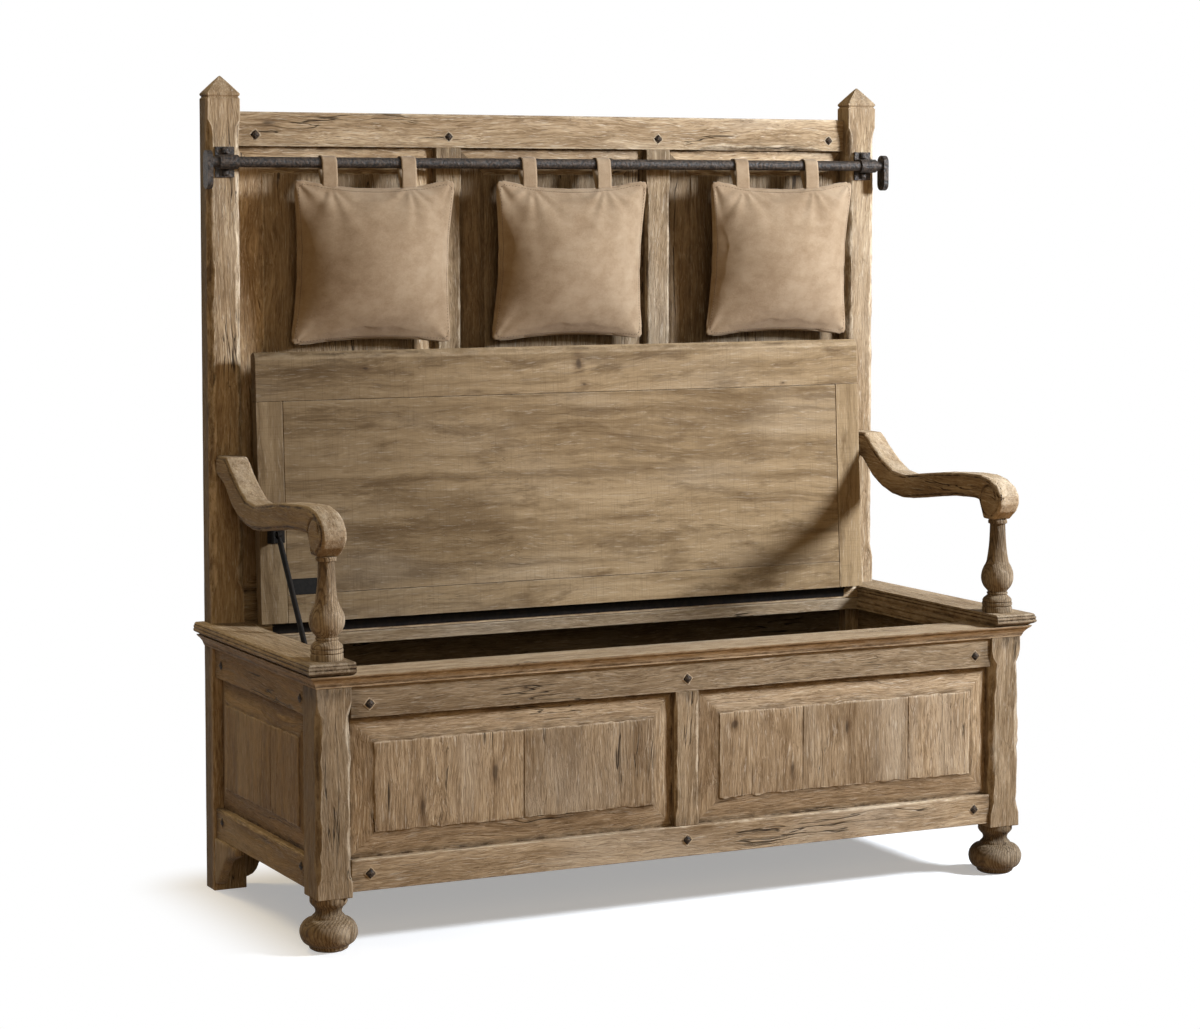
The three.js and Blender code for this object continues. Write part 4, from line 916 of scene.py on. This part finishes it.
for number, (spot, face) in enumerate(nail_places, 1):
    seed = 60.0 + number
    size = 0.0062 * (1 + 0.08 * jitter(seed, 1.0))
    turn = math.radians(45 + 9 * jitter(seed, 2.0))
    head = forged_head(spot, face, size, turn, seed, nail_rings, 16)
    carried(plain_piece(f"nail_head_{number}", *head, nail_iron), "chest")
    points, faces = forged_head(spot, face, size, turn, seed, sinking_rings, 24)
    wooden(f"nail_sinking_{number}", points, faces, [grain_place(p, 2, seed) for p in points],
           [tone for tone in sinking_tones for _ in range(24)])


# Arms: sawn from thick oak, rising to the back posts and rolled down over the balusters,
# with softened corners and a rolled end.
arm_low, arm_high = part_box("arm_left")
roll_y = arm_low.y + 0.07 * (arm_high.y - arm_low.y)
roll_z = arm_low.z + 0.29 * (arm_high.z - arm_low.z)


def arris(normal):
    """1 on the line where the softened corner meets the side face."""
    return ease(0.68, 0.82, abs(normal.x)) * ease(0.998, 0.97, abs(normal.x))


def volute(point, normal):
    """How deep the carver's groove is here, 0 to 1: a curl on both sides of the rolled end."""
    across, rise = point[1] - roll_y, point[2] - roll_z
    turn = math.atan2(rise, -across) % (2 * math.pi)
    away = abs(math.hypot(across, rise) - 0.0195 - 0.0026 * turn)
    curl = ease(0.0034, 0.0012, away) * ease(0.6, 0.85, abs(normal.x)) * ease(4.9, 4.4, turn)
    return max(curl, 0.5 * arris(normal))


def arm_tone(point, normal):
    rubbed = 0.3 * ease(0.3, 0.85, normal.z) + 0.25 * ease(-0.2, -0.262, point[1])
    return (rubbed, max(0.95 * volute(point, normal), arris(normal)))


for side, seed, shade in (("left", 36.0, -0.1), ("right", 37.0, 0.08)):
    softened(f"arm_{side}", 1, seed, 0.0018, 5, 0.0008, arm_tone, volute, shade, crease=60)


# Balusters: turned oak vases on a low ringed foot, each standing on a seat board under the
# rolled end of its arm.
baluster_outline = (
    (0.89, 0, 1), (0.92, 0.012), (0.92, 0.055, 1), (0.865, 0.067, 1, 1), (0.92, 0.079, 1), (0.92, 0.104, 1),
    (0.87, 0.11, 1, 1), (0.9, 0.122), (0.85, 0.148), (0.7, 0.172), (0.59, 0.192, 1, 0.9),
    (0.65, 0.198, 1), (0.65, 0.212, 1), (0.585, 0.221, 1, 1), (0.69, 0.246), (0.83, 0.275), (0.96, 0.325),
    (1, 0.375), (0.96, 0.435), (0.84, 0.49), (0.69, 0.545), (0.59, 0.65), (0.53, 0.76),
    (0.485, 0.94, 1), (0.49, 0.95, 1), (0.59, 0.958, 1), (0.595, 0.98, 1), (0.56, 0.998, 1), (0.5, 1, 1),
)
turned_piece("arm_baluster_left", baluster_outline, 38.0, -0.2, 0.0007)
turned_piece("arm_baluster_right", baluster_outline, 39.0, -0.4, 0.0007)


# The lid: a wide field let flush into four border boards, planed smooth and stained in
# clouds, with a rounded front edge. It is made lying flat and turned up to stand open.
lid_oak = oak_finish(
    "lid_oak", rgb(172, 149, 116), rgb(150, 127, 95), rgb(100, 78, 50), 0.6, 0.3, 1.3,
    marks=(((0.017, 0.2, 0.931), (0.017, 1.0, 0.03)), ((0.027, 0.2, 0.89), (0.022, 1.0, 0.012)),
           ((0.452, 0.2, 0.882), (0.012, 1.0, 0.006)), ((-0.41, 0.2, 0.93), (0.02, 1.0, 0.008))),
    hatch=0.22, brushed=0.5, soft=1.25,
)
lid_joint = [joint for joint in frame["joints"] if joint["name"] == "lid_hinge"][0]
hinge = Vector(lid_joint["pos_m"])
opened = Matrix.Translation(hinge) @ Matrix.Rotation(-math.radians(lid_joint["range_deg"][1]), 4, "X")
lid_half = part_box("lid_frame")[1].x
lid_front = board_low.y - hinge.y
board_thick, border, rear = 0.0217, 0.05, 0.0017
field_half, field_front, field_rear = lid_half - border, lid_front + 0.087, -rear - border


def lid_shade(point):
    """The wood is darker towards the left end."""
    return -0.12 - 0.3 * ease(0.1, -0.6, point[0])


def lid_board(name, low, high, along, seed, worn, chamfers=(), wear=0.0008, below=0.0, **rest):
    return worn_bar(
        name, Vector((*low, below - board_thick)), Vector((*high, 0)), along, seed, chamfers, wear,
        shade=lid_shade, worn=worn, finish=lid_oak, body="lid", slot="lid_oak", place=opened, **rest,
    )


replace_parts(lid_board(
    "lid_front_board", (-lid_half, lid_front), (lid_half, field_front - play), 0, 40.0, 0.15,
    ((0, *whole_edge, 0.0082, 0.012, 0.05), (3, *whole_edge, 0.005, 0.0092, 0.05)),
), "lid_frame")
lid_board("lid_left_board", (-lid_half, field_front), (-field_half - play, -rear), 1, 41.0, 0.35)
lid_board("lid_right_board", (field_half + play, field_front), (lid_half, -rear), 1, 42.0, 0.35)
lid_board("lid_rear_board", (-field_half, field_rear + play), (field_half, -rear), 0, 43.0, 0.35)
lid_board("lid_wide_field", (play - field_half, field_front + play), (field_half - play, field_rear - play),
          0, 44.0, 0.4, wear=0.0009, below=play, stands_for=["lid_field"])


# The plate: a thin bare metal plate with a narrow turned rim, pinned under the lid near the
# stay.
plate_finish = clouded_metal("plate_finish", 160.0, (0.35, 0.65), rgb(12, 11, 10), rgb(25, 23, 21), 0.5,
                             (0.2, 0.0005), 0.0)
plate_rim = ((0.0006, 0.0), (-0.0007, 0.0), (-0.0009, 0.0003), (-0.0009, 0.0011), (-0.0006, 0.0015))
plate_points = [
    opened @ Vector((x, y, depth - board_thick))
    for depth, inset in plate_rim
    for x, y in ((-0.562 + inset, -0.08 + inset), (-0.512 - inset, -0.08 + inset),
                 (-0.512 - inset, -0.0515 - inset), (-0.562 + inset, -0.0515 - inset))
]
carried(plain_piece("bare_plate", plate_points, ring_faces(len(plate_rim), 4), plate_finish, False),
        "lid")


# Hinge and stay: a hinge screwed along the lid's rear edge, and a rod that slides in a tube
# to hold the lid open, all of dull blackened steel. The CAD solids have the right shapes.
def metal_finish(name, dark, bright, rough, relief, scale, gleam, nodes):
    """Dented metal, put on the CAD solids of these nodes."""
    material, metal = new_material(name)
    spot = metal.node("TexCoord", {}, "Object")
    dents = spot.noise((scale, scale, scale), 2.0, 0.5)
    fine = spot.noise((scale * 5, scale * 5, scale * 5), 3.0, 0.6)
    colour = (dents * 0.7 + fine * 0.4).between(0.42, 0.72).mixed(dark, bright)
    finished(metal, colour, fine.between(0.3, 0.7, rough - 0.1, rough + 0.12), gleam,
             (relief, 0.002, dents + fine * 0.25), Metallic=0.05)
    for node in nodes:
        for place in frame["nodes"][node].material_slots:
            place.material = material
    return material


metal_finish("black_steel", rgb(10, 8, 6), rgb(28, 22, 17), 0.6, 0.15, 120.0, 0.12, (
    "hinge_moving_leaf", "hinge_fixed_leaf", "hinge_pin", "stay_lid_bracket", "stay_tube",
    "stay_rod", "stay_floor_bracket",
))


# The hanging rod and its fittings: hammered iron, forged straps round the rod on the posts
# and oblong ends. Two square-headed bolts hold each strap.
hammered_iron = metal_finish("hammered_iron", rgb(15, 11, 8), rgb(70, 57, 46), 0.5, 1.0, 200.0, 0.32, (
    "hanging_rod", "rod_bracket_left", "rod_bracket_right", "rod_finial_left", "rod_finial_right",
))
strap_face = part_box("rod_bracket_left")[1].y - 0.004
bolt_rings = ((1, -0.001), (1.02, 0.0022), (0.86, 0.0042), (0.5, 0.0056), (0.12, 0.0061))
bolt_places = [(x, strap_face, z) for x in (-0.6555, 0.6555) for z in (1.317, 1.279)]
for number, spot in enumerate(bolt_places, 1):
    turn = math.radians(6 * jitter(number, 4.0))
    head = forged_head(spot, (0, -1), 0.0062, turn, 80.0 + number, bolt_rings, 16)
    carried(plain_piece(f"bracket_bolt_{number}", *head, hammered_iron), "chest")


# Cushions: suede covers sewn from two square faces and stuffed, so they swell in the middle,
# draw in at the sides and pucker along the seam. Each hangs from two suede tabs over the rod.
suede_finish, suede = new_material("suede")
spot = suede.node("TexCoord", {}, "Object")
nap = spot.noise((1100.0, 1100.0, 1100.0), 2.0, 0.6)
brushed = spot.noise((30.0, 30.0, 42.0), 5.0, 0.65)
clouds = spot.noise((8.0, 8.0, 7.0), 3.0, 0.6)
shades = ((0.34, rgb(126, 104, 80)), (0.52, rgb(154, 134, 110)), (0.7, rgb(176, 158, 135)))
colour = suede.node("ValToRGB", {0: brushed * 0.36 + clouds * 0.3 + nap * 0.34}, stops=shades)
finished(suede, colour, 0.92, 0.06, (0.4, 0.0007, nap + brushed * 0.8), Sheen_Weight=0.12,
         Sheen_Roughness=0.5)
thread_finish, thread = new_material("seam_thread")
twist = thread.node("TexCoord", {}, "Object").noise((1500.0, 1500.0, 1500.0), 2.0)
finished(thread, twist.mixed(rgb(58, 44, 32), rgb(96, 76, 56)), 0.85)
cushion_width, cushion_height = 0.316, 0.302
half_x, half_z = cushion_width / 2, cushion_height / 2
front_crown, back_crown, cushion_tilt = 0.045, 0.035, math.atan2(22, 302)
tab_spread, tab_shift, tab_half, tab_seam = 0.0765, 0.011, 0.0145, 0.0022
rod_low, rod_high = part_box("hanging_rod")
rod_y, rod_z, rod_radius = (rod_low.y + rod_high.y) / 2, (rod_low.z + rod_high.z) / 2, 0.0095


def lens(crown_share, edge_share):
    """Two square faces, closed along a thin edge; crown_share is how much they already swell."""
    steps, hem = 36, 0.003
    points, faces = [], []
    for crown, direction in ((front_crown, -1), (back_crown, 1)):
        for j in range(steps + 1):
            for i in range(steps + 1):
                u, v = 2 * i / steps - 1, 2 * j / steps - 1
                swell = ((1 - u * u) * (1 - v * v)) ** 0.85
                x = u * (half_x - hem - edge_share * 0.013 * (1 - v * v))
                z = v * (half_z - hem - edge_share * 0.011 * (1 - u * u))
                round_in = 0.006 * (abs(u) * abs(v)) ** 9
                points.append((
                    x - math.copysign(round_in, u), direction * (0.0032 + crown_share * crown * swell),
                    z - math.copysign(round_in, v),
                ))
    row = steps + 1
    back = row * row
    for j in range(steps):
        for a in range(j * row, j * row + steps):
            faces += [(a, a + 1, a + 1 + row, a + row),
                      (back + a, back + a + row, back + a + 1 + row, back + a + 1)]
    rim = list(range(steps)) + [j * row + steps for j in range(steps)]
    rim += [steps * row + steps - i for i in range(steps)] + [(steps - j) * row for j in range(steps)]
    for a, b in zip(rim, rim[1:] + rim[:1]):
        faces.append((a, back + a, back + b, b))
    return points, faces


def room_inside(point):
    """0 at the cover's nearest side and 1 at its middle."""
    return min(1 - abs(point.x) / half_x, 1 - abs(point.z) / half_z)


def stuffed(name):
    """The cover blown up by its filling: a cloth simulation of the flat sewn cover."""
    blank = plain_piece(name + "_flat", *lens(0.9, 0.4), suede_finish)
    remesh = blank.modifiers.new("remesh", "REMESH")
    remesh.mode, remesh.voxel_size = "VOXEL", 0.005
    mesh = settled_mesh(blank)
    bpy.data.objects.remove(blank)
    pad = set_up(name + "_pad", mesh)
    start = [vertex.co.copy() for vertex in mesh.vertices]
    moved = start
    cloth = pad.modifiers.new("cloth", "CLOTH").settings
    cloth.quality, cloth.mass = 6, 0.25
    cloth.tension_stiffness, cloth.compression_stiffness = 22, 16
    cloth.shear_stiffness, cloth.bending_stiffness = 8, 0.35
    cloth.use_pressure = True
    cloth.uniform_pressure_force = 3
    cloth.effector_weights.gravity = 0
    for number in range(1, 21):
        bpy.context.scene.frame_set(number)
    settled = pad.evaluated_get(bpy.context.evaluated_depsgraph_get())
    moved = [vertex.co.copy() for vertex in settled.data.vertices]
    bpy.context.scene.frame_set(1)
    bpy.data.objects.remove(pad)
    shaped = []
    for a, b in zip(start, moved):
        cap = 0.004 + 0.009 * ease(0.02, 0.35, room_inside(a))
        step = b - a
        shaped.append(a + step * min(1, cap / max(1e-6, step.length)))
    return shaped, [tuple(face.vertices) for face in mesh.polygons]


def drawn_in(points):
    """Moves the points sideways, so that the four sides are drawn in between the corners and
    the cover closes to a thin edge along them."""
    halves = (half_x, None, half_z)
    corner, bins = 0.01, 40
    for across, along, draws in ((0, 2, (0.013, 0.013)), (2, 0, (0.0135, 0.019))):
        widths = []
        for side in (-1, 1):
            reach = [1e-6] * (bins + 1)
            for p in points:
                at = (p[along] / halves[along] + 1) / 2 * bins
                for k in range(max(0, math.ceil(at - 1.2)), min(bins, math.floor(at + 1.2)) + 1):
                    reach[k] = max(reach[k], side * p[across])
            widths.append(reach)
        for p in points:
            share = min(1, max(-1, p[along] / halves[along]))
            at = (share + 1) / 2 * bins
            k = min(bins - 1, int(at))
            reach, draw = widths[p[across] > 0], draws[p[across] > 0]
            now = reach[k] + (reach[k + 1] - reach[k]) * (at - k)
            past = max(0, abs(share) * halves[along] - halves[along] + corner)
            rounded = corner - math.sqrt(max(0, corner * corner - past * past))
            full = halves[across] - draw * (1 - share * share) - 0.8 * rounded
            p[across] *= min(1.15, max(0.8, full / now))
    for p in points:
        u = min(1, abs(p.x) / (half_x - 0.013 * (1 - (p.z / half_z) ** 2)))
        v = min(1, abs(p.z) / (half_z - (0.0175 if p.z > 0 else 0.012) * (1 - (p.x / half_x) ** 2)))
        plump = max(0, (1 - u * u) * (1 - v * v))
        if p.y < 0:
            full = 0.0022 + 0.053 * plump ** 0.8
            p.y = -0.72 * full - 0.28 * min(-p.y, 1.2 * full)
        else:
            p.y = min(p.y, 0.0022 + 0.037 * plump ** 1.1)


def creased(point, seed):
    """Soft folds that run out from the corners and from where the tabs pull."""
    lift = 0.0
    pulls = ((-tab_spread - tab_shift, 0.138, 0.0021, 9), (tab_spread - tab_shift, 0.138, 0.0021, 9),
             (-0.15, 0.145, 0.0026, 7), (0.15, 0.145, 0.0026, 7),
             (-0.15, -0.145, 0.0019, 6), (0.15, -0.145, 0.0019, 6))
    for number, (x, z, height, folds) in enumerate(pulls):
        away = Vector((point.x - x, point.z - z))
        angle = math.atan2(away.y, away.x)
        fade = math.exp(-away.length / 0.06) * ease(0, 0.02, away.length)
        turn = folds * angle + 3 * jitter(seed + number, angle * 1.3, 2.2)
        lift += height * fade * math.sin(turn)
    lift += 0.0011 * jitter(seed, point.x * 14, point.z * 14, point.y * 14)
    return lift * ease(-0.02, 0.1, room_inside(point))


def seam_line(tree, count):
    """Points along the cover's edge, each with the way that it looks out."""
    found = []
    for k in range(count):
        angle = 2 * math.pi * (k + 0.5) / count
        ray = Vector((math.cos(angle), 0, math.sin(angle)))
        if abs(ray.x) * cushion_height > abs(ray.z) * cushion_width:
            outside = ray * (half_x + 0.02) / abs(ray.x)
        else:
            outside = ray * (half_z + 0.02) / abs(ray.z)
        found.append((tree.ray_cast(outside, -ray)[0], ray))
    return [(sum((found[(k + n) % count][0] for n in (-1, 0, 1)), Vector()) / 3, found[k][1])
            for k in range(count)]


def beside_seam(flow, towards):
    """The way across the seam, square to its run, on the side of towards."""
    across = Vector((0, 1, 0)).cross(flow).normalized()
    return -across if across.dot(towards) < 0 else across


def welt(seam, seed):
    """The rolled edge of the two faces along their seam."""
    points, ring, half_wide, half_high, proud = [], 8, 0.0019, 0.0017, 0.0002
    for k, (spot, ray) in enumerate(seam):
        outward = beside_seam(seam[(k + 1) % len(seam)][0] - seam[k - 1][0], ray)
        pinch = 1 + 0.18 * jitter(seed, k * 0.9)
        for n in range(ring):
            turn = 2 * math.pi * n / ring
            points.append(
                spot + outward * (proud + half_wide * pinch * math.cos(turn))
                + Vector((0, half_high * pinch * math.sin(turn), 0))
            )
    return points, ring_faces(len(seam), ring, closed=True)


def stitching(seam, tree):
    """A row of short stitches on the front face, beside the seam; each is a low wedge."""
    half_stitch, half_thread, off_seam = 0.0014, 0.0005, 0.0042
    points, faces = [], []
    for k in range(len(seam) * 2):
        here, there = seam[k // 2][0], seam[(k // 2 + 1) % len(seam)][0]
        spot = here.lerp(there, 0.5 * (k % 2))
        above = spot + beside_seam(there - here, -spot) * off_seam
        hit, normal = tree.ray_cast(Vector((above.x, -0.2, above.z)), Vector((0, 1, 0)))[:2]
        if hit is None:
            continue
        along = (there - here).normalized() * half_stitch
        across, up = normal.cross(along).normalized() * half_thread, normal * half_thread
        base = len(points)
        points += [hit - along - across, hit + along - across, hit + along + across,
                   hit - along + across, hit - along * 0.6 + up, hit + along * 0.6 + up]
        faces += [(base + a, base + b, base + c) for a, b, c in (
            (0, 1, 5), (0, 5, 4), (2, 3, 4), (2, 4, 5), (3, 0, 4), (1, 2, 5), (0, 3, 2), (0, 2, 1))]
    return points, faces


def tab_path(foot):
    """A tab's run seen from the side: up from the seam, over the rod and down again."""
    reach_out, lap, rise, over = rod_radius + 0.0016, 0.1, 5, 16
    path = []
    for n in range(rise):
        share = n / rise
        start_y, touch_y = foot.y - tab_seam, rod_y - reach_out * math.cos(lap)
        bow = 0.0016 * math.sin(math.pi * share)
        path.append((start_y + (touch_y - start_y) * share - bow,
                     foot.z + (rod_z - reach_out * lap - foot.z) * share))
    for n in range(over + 1):
        angle = math.pi + lap - (math.pi + 2 * lap) * n / over
        path.append((rod_y + reach_out * math.cos(angle), rod_z + reach_out * math.sin(angle)))
    leave_y, leave_z = rod_y + reach_out * math.cos(lap), rod_z - reach_out * lap
    for n in range(1, rise + 1):
        share = n / rise
        path.append((leave_y + (foot.y + tab_seam - leave_y) * share, leave_z + (foot.z - leave_z) * share))
    return path


def suede_tab(foot, middle, seed):
    """A flat loop of doubled suede with soft edges; middle is its place along the rod."""
    path, columns, half_thick = tab_path(foot), 9, 0.0011
    points = []
    for n, (y, z) in enumerate(path):
        before, after = path[max(0, n - 1)], path[min(len(path) - 1, n + 1)]
        flow = Vector((after[0] - before[0], after[1] - before[1])).normalized()
        for layer in (1, -1):
            for c in range(columns) if layer == 1 else reversed(range(columns)):
                share = c / (columns - 1)
                edge = abs(2 * share - 1)
                wide = tab_half * (1 + 0.03 * jitter(seed, z * 30, share))
                thick = half_thick * (1 - 0.75 * edge ** 10) * layer
                lift = thick + half_thick * edge ** 6 + 0.0005 * jitter(seed, n * 0.25, share * 2)
                points.append((middle + wide * (2 * share - 1), y - flow.y * lift, z + flow.x * lift))
    return points, ring_faces(len(path), 2 * columns)


for place, seed in (("left", 51.0), ("center", 52.0), ("right", 53.0)):
    low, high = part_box(f"cushion_{place}")
    middle_x = (low.x + high.x) / 2
    middle_z = low.z + cushion_height * math.cos(cushion_tilt) / 2
    seat = Matrix.Translation((middle_x, rod_y - 0.002, middle_z)) @ Matrix.Rotation(cushion_tilt, 4, "X")
    points, faces = stuffed(f"cushion_{place}")
    drawn_in(points)
    cushion = plain_piece(f"suede_cushion_{place}", points, faces, suede_finish)
    normals = [vertex.normal.copy() for vertex in cushion.data.vertices]
    for vertex, normal in zip(cushion.data.vertices, normals):
        lift = creased(vertex.co, seed)
        vertex.co += normal * (lift if vertex.co.y < 0 else min(0, lift))
    finer = cushion.modifiers.new("finer", "SUBSURF")
    finer.levels = finer.render_levels = 1
    fine = settled_mesh(cushion)
    cushion.modifiers.clear()
    cushion.data = fine
    tree = BVHTree.FromPolygons([v.co for v in fine.vertices], [tuple(f.vertices) for f in fine.polygons])
    seam = seam_line(tree, 132)
    edge = plain_piece(f"suede_welt_{place}", *welt(seam, seed), suede_finish)
    stitches = plain_piece(f"seam_stitches_{place}", *stitching(seam, tree), thread_finish, False)
    for piece in (cushion, edge, stitches):
        piece.data.transform(seat)
        carried(piece, f"cushion_{place}")
    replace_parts(cushion, f"cushion_{place}")
    for number, side in enumerate((-1, 1)):
        tab_x = side * tab_spread - tab_shift
        top = tree.ray_cast(Vector((tab_x, 0, 0.2)), Vector((0, 0, -1)))[0]
        foot = seat @ Vector((top.x, 0, top.z - 0.006))
        tab = suede_tab(foot, middle_x + tab_x, seed + number)
        tab = plain_piece(f"suede_tab_{place}_{number + 1}", *tab, suede_finish)
        carried(tab, f"cushion_{place}")
